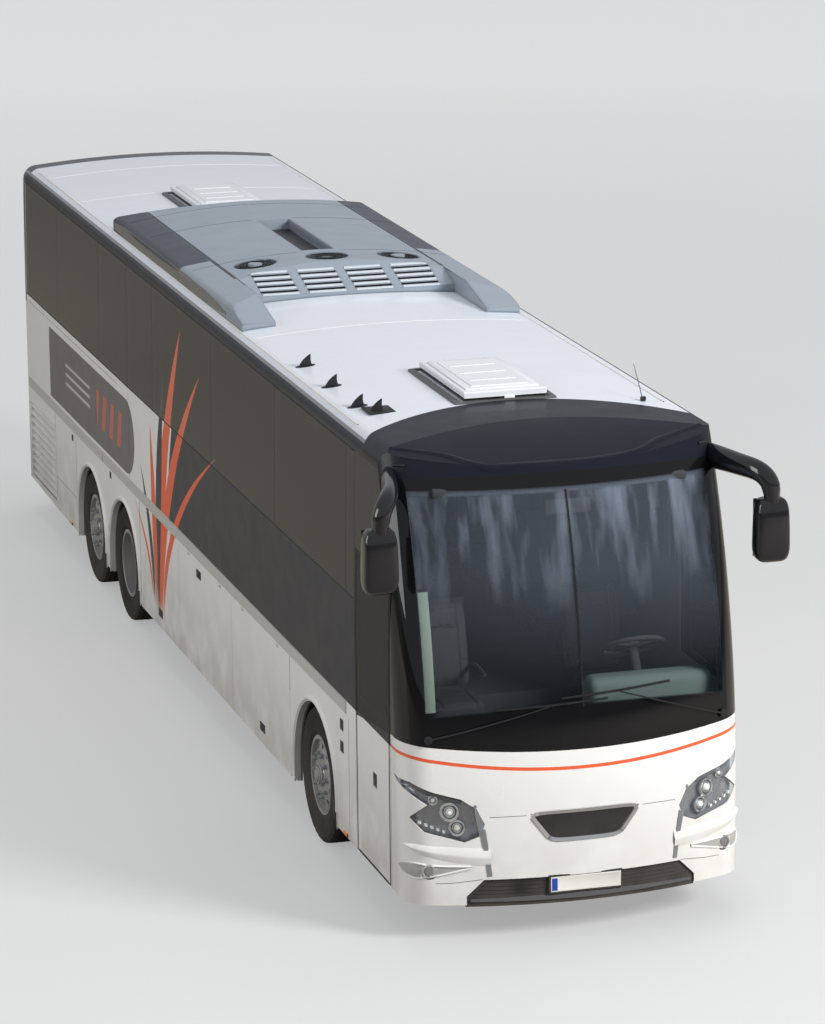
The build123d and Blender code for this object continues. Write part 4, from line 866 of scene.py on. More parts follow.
def curve(seat: View, rows: Sequence[Place], steps: int) -> tuple[list[Seat], list[float]]:
    """Seats along a smooth course, and the strip's width at each.

    Args:
        seat: The skin's view.
        rows: Two places and a width for each point.
        steps: Steps between points.

    Returns:
        The seats and the widths.
    """
    course = spline(rows, steps)
    return [seat(p.x, p.y) for p in course], [max(p.z, 0.004) for p in course]


class Skin:
    """The surface of some CAD nodes, on which new pieces are seated."""

    def __init__(self, *starts: str) -> None:
        """Gathers the faces of the nodes whose names start with these words."""
        points, faces = [], []
        for node in named(*starts):
            start = len(points)
            points += [v.co.copy() for v in node.data.vertices]
            faces += [[start + i for i in p.vertices] for p in node.data.polygons]
        self.tree = BVHTree.FromPolygons(points, faces)

    def hit(self, start: Place, aim: Vector) -> Seat:
        """Where a ray first meets the surface, with the outward normal there."""
        found, normal, *_ = self.tree.ray_cast(start, aim)
        if found is None:
            found, normal, *_ = self.tree.find_nearest(Vector(start) + aim * 1.5)
        return found, normal if normal.dot(aim) < 0 else -normal

    def ahead(self, x: float, z: float) -> Seat:
        """The front surface at X and Z."""
        return self.hit((x, -8.5, z), BACK)

    def behind(self, x: float, z: float) -> Seat:
        """The rear surface at X and Z."""
        return self.hit((x, 8.5, z), -BACK)

    def beside(self, sign: int, y: float, z: float) -> Seat:
        """A side's surface at Y and Z."""
        return self.hit((2.5 * sign, y, z), Vector((-sign, 0, 0)))

    def over(self, x: float, y: float) -> Seat:
        """The upper surface at X and Y."""
        return self.hit((x, y, 5.0), -UP)

    def corner(self, sign: int, run: float, z: float) -> Seat:
        """A front corner's surface, seen along the diagonal."""
        lean = math.sqrt(0.5)
        start = (sign * (run + 1.6) * lean, at(0.61) + (run - 1.6) * lean, z)
        return self.hit(start, Vector((-sign * lean, lean, 0)))

    def near(self, guess: Place) -> Seat:
        """The nearest surface point to a guess."""
        found, normal, *_ = self.tree.find_nearest(guess)
        return found, normal

    def ribbon(
        self,
        seats: Sequence[Seat],
        width: float | Sequence[float],
        rise: float,
        loop: bool = False,
        sink: float = 0.002,
        ridge: float = 0.7,
    ) -> Piece:
        """A strip that lies on the surface along a course.

        Args:
            seats: Points on the surface with their normals.
            width: The strip's width, or one for each seat.
            rise: How far it stands proud.
            loop: Whether the strip closes.
            sink: How far its edges go under the surface.
            ridge: Share of the width over which it is at full height.

        Returns:
            The strip.
        """
        count = len(seats)
        rows = []
        for i, (point, normal) in enumerate(seats):
            before = seats[(i - 1) % count if loop else max(i - 1, 0)][0]
            after = seats[(i + 1) % count if loop else min(i + 1, count - 1)][0]
            side = normal.cross((after - before).normalized()).normalized()
            half = (width[i] if isinstance(width, Sequence) else width) / 2
            row = []
            for share, height in ((-1, -sink), (-ridge, rise), (ridge, rise), (1, -sink)):
                found, face = self.near(point + side * half * share)
                face = face if face.dot(normal) > 0 else normal
                row.append(found + face * height)
            rows.append(row)
        if loop:
            rows.append(rows[0])
        last = len(rows) - 1
        strip = loft(last, 3, lambda u, v: rows[round(u * last)][round(v * 3)], closed=False)
        modified(strip, "SOLIDIFY", thickness=0.0015, offset=-1)
        return tidied(strip)


def finished(
    name: str,
    pieces: Piece | list[Piece],
    shade: Shade,
    slot: Slot = Slot.TRIM,
    body: str = "coach",
    angle: float = 35.0,
) -> Piece:
    """Joins, names, dresses and mounts a piece.

    Args:
        name: Its name in the table.
        pieces: The modelled piece, or its parts.
        shade: Its finish.
        slot: The record's slot that the finish belongs to; not used.
        body: The CAD body that it rides on.
        angle: Edges under this many degrees are smoothed.

    Returns:
        The piece.
    """
    piece = settled(joined(pieces) if isinstance(pieces, list) else pieces)
    piece.name = piece.data.name = name
    piece.data.materials.clear()
    piece.data.materials.append(shade.made())
    bpy.ops.object.shade_smooth_by_angle(angle=math.radians(angle))
    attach(piece, body)
    log.info("%s: %d faces on %s", name, len(piece.data.polygons), body)
    return piece


@dataclass
class Studio:
    """Floor, lamps and the camera of the photograph.

    The focal length, the picture's size and its optical middle are pixels of the photograph. Each pair
    of floor tints is that near the coach and far from it, or the plain one and the warm one.
    """

    camera_place: Colour = (-9.2, -34.75, 10.39)
    camera_aim: Colour = (0.08, -2.01, 2.11)
    roll: float = math.radians(-0.62)
    focal_pixels: float = 4345.4
    picture: tuple[float, float] = (825.0, 1024.0)
    middle: tuple[float, float] = (402.5, 491.5)
    sensor: float = 36.0
    lamp_aim: Colour = (0, 0, 1.5)
    areas: tuple[tuple[str, Colour, float, float], ...] = (
        ("key", (14.0, -21.0, 14.0), 7.0, 8100.0),
        ("top", (2.0, 4.0, 20.0), 14.0, 1300.0),
        ("fill", (-22.0, -6.0, 9.0), 12.0, 1800.0),
    )
    sky: Colour = (0.93, 0.96, 1.0)
    sky_light: float = 0.42
    floor_size: float = 400.0
    floor_pale: tuple[Colour, Colour] = ((0.29, 0.29, 0.29), (0.31, 0.31, 0.31))
    floor_glow: tuple[Colour, Colour] = ((0.36, 0.36, 0.36), (0.56, 0.56, 0.56))
    floor_shown: tuple[Colour, Colour] = ((0.23, 0.21, 0.19), (0.44, 0.40, 0.33))
    near_reach: float = 6.0
    far_reach: float = 30.0
    warm_y: float = -7.6

    def floor(self) -> None:
        """A wide pale floor, which is warmer where glossy things show it."""
        plane = primitive(Form.GRID, x_subdivisions=4, y_subdivisions=4, size=self.floor_size)
        plane.name = "studio_floor"
        recipe = Recipe("studio_floor")
        rays = recipe.node("ShaderNodeLightPath").outputs
        seen, glossy = Flow(recipe, rays["Is Camera Ray"]), Flow(recipe, rays["Is Glossy Ray"])
        pale = recipe.mix(recipe.noise(0.4), *self.floor_pale)
        x, y, _ = recipe.place()
        far = (distance(x, y) - self.near_reach) / self.far_reach
        glow = recipe.mix(far.above(0.5, 1.0), *self.floor_glow)
        shown = recipe.mix(glossy * y.above(self.warm_y, 1.0), *self.floor_shown)
        floor = recipe.close(
            Base_Color=recipe.mix(seen, shown, pale),
            Roughness=0.8,
            Emission_Color=recipe.mix(seen, (0, 0, 0), glow),
            Emission_Strength=1.0,
        )
        plane.data.materials.append(floor)

    def lamps(self) -> None:
        """A large key lamp from the front left, a weak fill and a light from above."""
        for name, place, size, power in self.areas:
            light = bpy.data.lights.new(name, "AREA")
            light.energy, light.size = power, size
            lamp = bpy.data.objects.new(name, light)
            lamp.visible_glossy = name == "fill"
            lamp.location = place
            aim = Vector(self.lamp_aim) - Vector(place)
            lamp.rotation_euler = aim.to_track_quat("-Z", "Y").to_euler()
            bpy.context.scene.collection.objects.link(lamp)

    def world(self) -> None:
        """An even sky, white to the camera and through glass, and weaker as light."""
        world = bpy.data.worlds.new("studio")
        world.use_nodes = True
        nodes, links = world.node_tree.nodes, world.node_tree.links
        path, seen = nodes.new("ShaderNodeLightPath"), nodes.new("ShaderNodeMath")
        seen.operation = "MAXIMUM"
        for i, ray in enumerate(("Is Camera Ray", "Is Transmission Ray")):
            links.new(path.outputs[ray], seen.inputs[i])
        strength = nodes.new("ShaderNodeMix")
        strength.inputs[2].default_value = self.sky_light
        strength.inputs[3].default_value = 1.0
        links.new(seen.outputs[0], strength.inputs[0])
        back = nodes["Background"]
        back.inputs[0].default_value = (*self.sky, 1)
        links.new(strength.outputs[0], back.inputs[1])
        bpy.context.scene.world = world

    def camera(self) -> None:
        """The camera at the photograph's place and angle."""
        lens = bpy.data.cameras.new("photo_camera")
        wide, high = self.picture
        lens.sensor_width, lens.sensor_fit = self.sensor, "AUTO"
        lens.lens = self.focal_pixels * self.sensor / high
        lens.shift_x = (wide / 2 - self.middle[0]) / high
        lens.shift_y = (self.middle[1] - high / 2) / high
        lens.clip_end = 500
        place = Vector(self.camera_place)
        ahead = (Vector(self.camera_aim) - place).normalized()
        right = ahead.cross(UP).normalized()
        up = right.cross(ahead)
        cos, sin = math.cos(self.roll), math.sin(self.roll)
        matrix = Matrix(tuple(zip(cos * right + sin * up, cos * up - sin * right, -ahead))).to_4x4()
        matrix.translation = place
        camera = bpy.data.objects.new("photo_camera", lens)
        camera.matrix_world = matrix
        bpy.context.scene.collection.objects.link(camera)
        bpy.context.scene.camera = camera

    def build(self) -> None:
        """Sets the studio up."""
        bpy.context.scene.view_settings.view_transform = "Standard"
        self.camera()
        self.floor()
        self.lamps()
        self.world()


@dataclass
class Bodywork:
    """Finishes of the CAD nodes, by the words that their names start with."""

    finishes: tuple[tuple[Shade, tuple[str, ...]], ...] = (
        (Shade.SIDE, ("side_wall", "front_door", "luggage_flap")),
        (Shade.MASK, ("front_mask",)),
        (Shade.ROOF, ("roof_panel",)),
        (Shade.TAIL, ("rear_wall", "engine_flap")),
        (Shade.CAP, ("roof_front_cap",)),
        (Shade.LID, ("roof_hatch",)),
        (Shade.UNIT, ("ac_unit",)),
        (Shade.TRIM, ("front_trim", "mirrors", "wipers")),
        (Shade.SCREEN, ("windscreen",)),
        (Shade.PANES, ("side_glass", "rear_window")),
        (Shade.DOOR_PANE, ("door_glass",)),
        (Shade.REFLECTOR, ("headlamps",)),
        (Shade.RED, ("tail_lamps",)),
        (Shade.RIM, ("rim",)),
        (Shade.TYRE, ("tyre",)),
        (Shade.FRAME, ("side_rails", "cross_members", "nose_member", "luggage_bay", "wheel_housings")),
        (Shade.FRAME, ("front_axle", "drive_axle", "tag_axle", "knuckle", "door_arm")),
        (Shade.ENGINE, ("engine_block",)),
        (Shade.DECK, ("floor_deck", "entry_steps")),
        (Shade.DASH, ("dashboard", "steering_wheel")),
        (Shade.CLOTH, ("seats", "crew_seats")),
    )

    def build(self) -> None:
        """Dresses every node."""
        for shade, starts in self.finishes:
            for node in named(*starts):
                node.data.materials.clear()
                node.data.materials.append(shade.made())


@dataclass
class FrontFace:
    """Badge surround, bare plate, seams, strips and corner mouldings of the front mask.

    Rows of three are a run across or along the corner's diagonal, a height and a width.
    """

    badge: Rows = ((-0.41, 0.95), (0.41, 0.95), (0.255, 0.745), (-0.255, 0.745))
    plate_height: float = 0.415
    panel_joints: tuple[Rows, ...] = (
        ((0.43, 0.937), (0.56, 0.936), (0.69, 0.934)),
        ((0.74, 0.478), (0.95, 0.455), (1.06, 0.452)),
    )
    strip: Rows = (
        (0.790, 1.030, 0.016), (0.770, 0.960, 0.044), (0.748, 0.870, 0.056),
        (0.729, 0.770, 0.050), (0.708, 0.640, 0.046), (0.690, 0.500, 0.042),
    )
    brow: Rows = (
        (0.10, 0.640, 0.150), (0.22, 0.650, 0.142), (0.34, 0.666, 0.124),
        (0.46, 0.686, 0.098), (0.58, 0.708, 0.064), (0.70, 0.728, 0.018),
    )
    recess: Rows = (
        (0.22, 0.570, 0.014), (0.32, 0.558, 0.040), (0.44, 0.545, 0.075),
        (0.58, 0.540, 0.110), (0.68, 0.545, 0.080), (0.74, 0.550, 0.020),
    )
    fog: tuple[float, float, float] = (1.10, 0.542, 0.044)
    lip_half: float = 0.82
    lip_height: float = 0.318
    slats: Rows = ((0.452, 0.69), (0.424, 0.73), (0.396, 0.76), (0.368, 0.79))
    slats_inner: float = 0.29

    def __post_init__(self) -> None:
        """Gathers the surface of the front."""
        self.skin = Skin("front_mask", "front_trim", "headlamps")

    def badge_surround(self) -> None:
        """A bright frame round the bare badge place, its corners rounded by averaging."""
        course = straight(self.badge, 14, loop=True)
        for _ in range(5):
            trios = zip([course[-1], *course], course, [*course[1:], course[0]])
            course = [(before + point * 2 + after) / 4 for before, point, after in trios]
        seats = [self.skin.ahead(*point) for point in course]
        surround = self.skin.ribbon(seats, 0.036, 0.009, loop=True)
        finished("badge_surround", surround, Shade.CHROME)

    def number_plate(self) -> None:
        """A bare plate in its black holder."""
        point, _ = self.skin.ahead(0, self.plate_height)
        front, wide, high = point.y - 0.008, *PLATE
        holder = rounded_box((wide + 0.03, 0.016, high + 0.03), (0, front, point.z), 0.005)
        finished("plate_holder", holder, Shade.TRIM)
        face = rounded_box((wide, 0.004, high), (0, front - 0.009, point.z), 0.0015)
        inset(face, lambda f: f.normal.y < -0.9 and f.area > 0.01, *PLATE_STEPS)
        finished("plate_face", face, Shade.PLATE)
        end = rounded_box((0.042, 0.004, high - 0.018), (-0.232, front - 0.010, point.z), 0.001)
        finished("plate_end", end, Shade.PLATE_BLUE)

    def seams(self) -> None:
        """Fine joints of the mask's panels."""
        lines = []
        for sign in SIDES.values():
            for run in self.panel_joints:
                seats = line(self.skin.ahead, [(sign * x, z) for x, z in run], 8)
                lines.append(self.skin.ribbon(seats, 0.005, 0.0006))
        finished("mask_seams", lines, Shade.SEAM)

    def corners(self) -> None:
        """Moulded brows, spear recesses painted grey for their shade, silver strips and fog lamp rings."""
        skin = self.skin
        mouldings, spears, strips, rings, lenses = [], [], [], [], []
        for sign in SIDES.values():

            def corner(run: float, z: float) -> Seat:
                """This side's corner."""
                return skin.corner(sign, run, z)

            mouldings.append(skin.ribbon(*curve(corner, self.brow, 8), 0.017, ridge=0.12))
            # The spear recesses are strips painted light grey for the shade in the shallow trough.
            seats, widths = curve(corner, self.recess, 8)
            spears.append(skin.ribbon(seats, widths, 0.0015, ridge=0.9))
            for edge in (-0.5, 0.5):
                lip = [skin.near(point + UP * edge * wide) for (point, _), wide in zip(seats, widths)]
                mouldings.append(skin.ribbon(lip, 0.020, 0.009, ridge=0.3))
            rows = [(sign * x, z, wide) for x, z, wide in self.strip]
            strips.append(skin.ribbon(*curve(skin.ahead, rows, 6), 0.005))
            x, z, radius = self.fog
            point, normal = skin.ahead(sign * x, z)
            aim = (normal - BACK).normalized()
            rings.append(ring(point + aim * 0.004, aim, radius, 0.008))
            lenses.append(ball(point, radius * 0.86, (1, 1, 0.3), aim))
        finished("corner_mouldings", mouldings, Shade.WHITE, Slot.BODY, angle=50)
        finished("fog_recesses", spears, Shade.SHADED_TROUGH, Slot.BODY)
        finished("silver_strips", strips, Shade.SATIN, Slot.LAMP)
        finished("fog_rings", rings, Shade.CHROME, Slot.LAMP)
        finished("fog_lenses", lenses, Shade.REFLECTOR, Slot.LAMP)

    def insert_lip(self) -> None:
        """Grey lip under the dark insert and slats within it."""
        half = self.lip_half
        seats = line(self.skin.ahead, [(-half, self.lip_height), (half, self.lip_height)], 40)
        widths = [0.05 - 0.028 * abs(i / 20 - 1) for i in range(41)]
        finished("front_lip", self.skin.ribbon(seats, widths, 0.014), Shade.LIP)
        slats = []
        for height, reach in self.slats:
            for low, high in ((-reach, -self.slats_inner), (self.slats_inner, reach)):
                seats = line(self.skin.ahead, [(low, height), (high, height)], 12)
                slats.append(self.skin.ribbon(seats, 0.010, 0.006, ridge=0.5))
        finished("insert_slats", slats, Shade.TRIM)

    def build(self) -> None:
        """Builds the front's trim."""
        self.badge_surround()
        self.number_plate()
        self.seams()
        self.corners()
        self.insert_lip()


@dataclass
class Headlamps:
    """Clear covers over silver trays with their projectors, light rows and dark blades."""

    lamps: Rows = ((0.965, 0.975, 0.060), (0.915, 0.858, 0.052), (1.075, 1.060, 0.030))
    row_ends: Rows = ((1.160, 0.895), (1.004, 0.832))
    row_steps: int = 4
    blade: Rows = (
        (0.80, 1.190, 0.010), (0.66, 1.172, 0.034), (0.52, 1.122, 0.040), (0.40, 1.080, 0.036),
        (0.28, 1.040, 0.022),
    )
    deep: float = 0.040

    def half(self, keep_outer: bool, wall: float) -> Piece:
        """The outer or the other faces of the CAD lamps, as a new shell.

        Args:
            keep_outer: Whether the outer faces stay.
            wall: The shell's thickness.

        Returns:
            The shell.
        """
        shell = bpy.data.objects.new("lamp_shell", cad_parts["headlamps"].data.copy())
        bpy.context.scene.collection.objects.link(shell)
        tidied(shell)

        def outer(face: bpy.types.MeshPolygon) -> bool:
            """Whether a face looks outwards."""
            sign = 1 if face.center.x > 0 else -1
            return face.normal.dot(Vector((sign, -1, 0)).normalized()) > 0.55

        with editing(shell, lambda face: outer(face) != keep_outer):
            bpy.ops.mesh.delete(type="FACE")
        return modified(shell, "SOLIDIFY", thickness=wall, offset=-1)

    def build(self) -> None:
        """Builds the lamps."""
        skin = Skin("headlamps")
        finished("lamp_trays", self.half(False, 0.0015), Shade.REFLECTOR, Slot.LAMP, angle=30)
        cover = finished("lamp_covers", self.half(True, 0.003), Shade.LENS, Slot.LAMP, angle=30)
        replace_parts(cover, "headlamps")
        rings, bowls, bulbs, blades = [], [], [], []
        for sign in SIDES.values():
            aim = Vector((sign * 0.45, -1, 0.08)).normalized()
            for x, z, radius in self.lamps:
                base = skin.ahead(sign * x, z)[0] - aim * self.deep
                bowls.append(disc(base, aim, radius * 0.92, 0.020, 0.002, 32))
                rings.append(ring(base + aim * 0.020, aim, radius, radius * 0.22))
                rings.append(ring(base + aim * 0.021, aim, radius * 0.60, radius * 0.10))
                bulbs.append(ball(base + aim * 0.014, radius * 0.46))
            aim = Vector((sign * 0.6, -1, 0)).normalized()
            ends = [(sign * x, z) for x, z in self.row_ends]
            for point, _ in line(skin.ahead, ends, self.row_steps):
                rings.append(ring(point - aim * 0.012, aim, 0.013, 0.003, 16))
                bulbs.append(disc(point - aim * 0.030, aim, 0.011, 0.019, 0.002, 16))
            course = curve(lambda run, z: skin.corner(sign, run, z), self.blade, 6)
            blades.append(skin.ribbon(*course, -0.014, sink=0.020))
        finished("lamp_rings", rings, Shade.CHROME, Slot.LAMP)
        finished("lamp_bowls", bowls, Shade.GLOSS, Slot.LAMP)
        finished("lamp_lenses", bulbs, Shade.BULB, Slot.LAMP)
        finished("lamp_blades", blades, Shade.LIP, Slot.LAMP)


@dataclass
class Wipers:
    """Two arms with their blades on the windscreen; rows are the pivot and the blade's two ends."""

    rows: Rows = (
        (-1.09, 1.50, -0.62, 1.70, 0.18, 1.735),
        (1.09, 1.50, -0.16, 1.76, 0.66, 1.80),
    )

    def build(self) -> None:
        """Builds arms, blades and rubbers."""
        skin = Skin("windscreen", "front_mask")
        arms, blades = [], []
        for row in self.rows:
            pivot, ends = row[:2], (row[2:4], row[4:])
            root, normal = skin.ahead(*pivot)
            arms.append(disc(root + normal * 0.004, normal, 0.030, 0.022, 0.005))
            middle = straight(ends, 2)[1]
            course, half = [], []
            for i, (point, normal) in enumerate(line(skin.ahead, (pivot, middle), 12)):
                share = i / 12
                course.append(point + normal * (0.016 + 0.010 * math.sin(math.pi * share)))
                half.append((0.015 - 0.008 * share, 0.008 - 0.003 * share))
            arms.append(tube(course, half, 8))
            seats = line(skin.ahead, ends, 16)
            arms.append(skin.ribbon(seats, 0.018, 0.018, sink=-0.010, ridge=0.5))
            blades.append(skin.ribbon(seats, 0.006, 0.010, sink=0.0, ridge=0.5))
        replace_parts(finished("wiper_arms", arms, Shade.TRIM), "wipers")
        finished("wiper_rubbers", blades, Shade.RUBBER)


@dataclass
class Mirrors:
    """Swept arms from the cap's corners with their heads and glasses.

    A row of the course is X, station and height of the arm's middle, its half width and half height.
    """

    course: Rows = (
        (1.150, 0.980, 3.240, 0.046, 0.096),
        (1.205, 0.760, 3.255, 0.054, 0.092),
        (1.285, 0.440, 3.260, 0.060, 0.082),
        (1.360, 0.240, 3.248, 0.064, 0.076),
        (1.412, 0.172, 3.190, 0.064, 0.070),
        (1.434, 0.160, 3.110, 0.060, 0.064),
        (1.440, 0.170, 3.010, 0.056, 0.058),
    )
    head: Colour = (1.44, 0.18, 2.832)
    size: Colour = (0.262, 0.172, 0.470)
    panes: Rows = ((2.745, 3.035), (2.630, 2.730))
    pane_wide: float = 0.196

    def shell(self, x: float, y: float, z: float) -> Place:
        """A point of the head, which narrows at its top and whose front is rounded."""
        narrow = 1 - 0.10 * (z / 2 + 0.5)
        y = y if y > 0 else y * (1 - 0.15 * z**2)
        wide, deep, high = (part / 2 for part in self.size)
        return self.head[0] + x * wide * narrow, at(self.head[1]) + y * deep, self.head[2] + z * high

    def build(self) -> None:
        """Builds both mirrors."""
        course = [Vector((p.x, at(p.y), p.z)) for p in spline([row[:3] for row in self.course], 6)]
        arm = tube(course, [tuple(half) for half in spline([row[3:] for row in self.course], 6)], 16)
        foot = rounded_box((0.09, 0.20, 0.10), (1.150, at(1.02), 3.235), 0.03)
        whole = mirrored(joined([arm, foot, loft(32, 24, softened(0.42, self.shell))]))
        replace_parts(finished("mirror_bodies", whole, Shade.GLOSS, angle=50), "mirrors")
        rear = at(self.head[1]) + self.size[1] / 2 - 0.002
        panes, rims = [], []
        for low, high in self.panes:
            centre = (self.head[0], rear, (low + high) / 2)
            panes.append(rounded_box((self.pane_wide, 0.006, high - low), centre, 0.002))
            rims.append(rounded_box((self.pane_wide + 0.016, 0.008, high - low + 0.016), centre, 0.003))
        finished("mirror_rims", mirrored(joined(rims)), Shade.TRIM)
        finished("mirror_glasses", mirrored(joined(panes)), Shade.MIRROR)


@dataclass
class RoofFront:
    """Crease and marker lamps of the dark cap, and the seams and gutters of the roof.

    A row of the crease is X, Y before the cap's place, and height. The gutter's values are its first
    station, a step and a count.
    """

    crease: Rows = (
        (-1.165, 0.295, 3.480), (-0.960, 0.200, 3.480), (-0.787, 0.113, 3.473),
        (-0.666, 0.029, 3.389), (-0.516, -0.032, 3.341), (-0.200, -0.050, 3.335),
        (0.216, -0.052, 3.341), (0.480, -0.015, 3.350), (0.640, 0.029, 3.389),
        (0.787, 0.113, 3.473), (0.960, 0.200, 3.480), (1.165, 0.295, 3.480),
    )
    cap_y: float = -6.34
    marker: Colour = (1.13, 0.15, 3.36)
    seams: tuple[float, ...] = (4.9, 10.13, 11.55, 12.95)
    seam_half: float = 1.12
    gutter_x: float = 1.165
    gutter: tuple[float, float, int] = (1.7, 0.39, 31)

    def build(self) -> None:
        """Builds the crease, the lamps, the seams and the gutters."""
        cap, roof = Skin("roof_front_cap"), Skin("roof_panel")
        seats = [cap.near(p) for p in spline([(x, y + self.cap_y, z) for x, y, z in self.crease], 6)]
        last = len(seats) - 1
        widths = [0.05 + 0.05 * (1 - (i / last * 2 - 1) ** 2) for i in range(len(seats))]
        crease = cap.ribbon(seats, widths, 0.012, ridge=0.25)
        finished("cap_crease", crease, Shade.CAP, Slot.DARK, angle=60)
        markers, gutters = [], []
        start, step, count = self.gutter
        for sign in SIDES.values():
            x, y, z = self.marker
            point, normal = cap.near((sign * x, y + self.cap_y, z))
            side = normal.cross(UP).normalized()
            ends = [cap.near(point + side * share * 0.045) for share in (-1, -0.5, 0, 0.5, 1)]
            markers.append(cap.ribbon(ends, 0.028, 0.008, ridge=0.6))
            seats = [roof.over(sign * self.gutter_x, at(start + step * i)) for i in range(count)]
            gutters.append(roof.ribbon(seats, 0.022, 0.008, ridge=0.5))
        finished("marker_lamps", markers, Shade.GLOSS, Slot.LAMP)
        finished("roof_gutters", gutters, Shade.WHITE, Slot.BODY)
        seams = []
        for y in map(at, self.seams):
            seats = line(roof.over, [(-self.seam_half, y), (self.seam_half, y)], 40)
            seams.append(roof.ribbon(seats, 0.012, 0.0012))
        finished("roof_seams", seams, Shade.WHITE, Slot.BODY)


@dataclass
class RoofFittings:
    """Shark fins, the whip aerial and the details of the hatches, with painted shadow round them."""

    fins: Rows = ((-1.03, 3.71), (-1.03, 2.94), (-1.03, 2.21), (-0.95, 1.98))
    fin_size: Colour = (0.011, 0.056, 0.092)
    aerial: tuple[float, float] = (1.01, 1.71)
    mast: Rows = ((0.05, 0.004), (0.35, 0.003), (0.7, 0.0025), (1.0, 0.002))
    curb_half: float = 0.365
    lid_top: float = 3.591

    def fin(self) -> Piece:
        """One fin on its foot, its point to the rear, at the origin."""
        thick, long, high = self.fin_size

        def place(u: float, v: float) -> Vector:
            """A point of the fin, from its foot to its crest."""
            turn, shrink, lean = 2 * math.pi * u, (1 - v) ** 0.7, 0.05 * v * v
            across, along = thick * shrink * math.sin(turn), long * shrink * math.cos(turn)
            return Vector((across, along + lean, high * v))

        foot = disc((0, 0, -0.004), UP, 0.052, 0.010, 0.003)
        with editing(foot):
            bpy.ops.transform.resize(value=(0.75, 1.5, 1))
        return joined([loft(20, 10, place), foot])

    def aerials(self, roof: Skin) -> None:
        """The fins, the pad under the last of them and the whip aerial."""
        fin = self.fin()
        pieces = []
        for x, station in self.fins:
            point, normal = roof.over(x, at(station))
            turn = upright(normal).to_matrix().to_4x4()
            pieces.append(copied(fin, Matrix.Translation(point) @ turn))
        bpy.data.objects.remove(fin)
        pieces.append(rounded_box((0.24, 0.24, 0.012), point + Vector((0.04, 0.02, 0.004)), 0.005))
        x, station = self.aerial
        root, _ = roof.over(x, at(station))
        pieces.append(disc(root, Vector((0, 0.2, 1)), 0.022, 0.035, 0.006))
        course = [root + Vector((0, 0.22, 0.235)) * share for share, _ in self.mast]
        pieces.append(tube(course, [(half, half) for _, half in self.mast], 8))
        finished("roof_fins", pieces, Shade.TRIM, angle=40)

    def lid(self, name: str, start: float) -> None:
        """Raised panel, ribs and latch of one lid.

        Args:
            name: Which hatch.
            start: Station of its front edge.
        """
        body, middle, top = f"roof_hatch_{name}", at(start + HATCH_LONG / 2), self.lid_top
        panel = rounded_box((0.56, 1.02, 0.014), (0, middle, top + 0.003), 0.006)
        inset(panel, lambda f: f.normal.z > 0.9 and f.area > 0.1, (0.05, 0.0), (0.008, 0.006))
        parts = [panel]
        for y in (-0.26, 0.0, 0.26):
            parts.append(rounded_box((0.36, 0.030, 0.012), (0, middle + y, top + 0.014), 0.005))
        finished(f"hatch_panel_{name}", parts, Shade.LID, Slot.BODY, body)
        latch = rounded_box((0.08, 0.012, 0.024), (0.03, at(start - 0.014), 3.540), 0.004)
        finished(f"hatch_latch_{name}", latch, Shade.WHITE, body=body)

    def build(self) -> None:
        """Builds fins, aerial, hatch details and the painted shadow round the hatches."""
        roof = Skin("roof_panel")
        self.aerials(roof)
        curb_shadows = []
        for name, start in HATCHES.items():
            front, rear, half = at(start - 0.02), at(start + 1.21), self.curb_half
            corners = [(-half, front), (half, front), (half, rear), (-half, rear)]
            # A raised strip round each hatch; its grey is painted shadow that the lid casts on the roof.
            curb_shadows.append(roof.ribbon(line(roof.over, corners, 10, loop=True), 0.060, 0.016, loop=True))
            self.lid(name, start)
        finished("hatch_curb_shadows", curb_shadows, Shade.LIP)


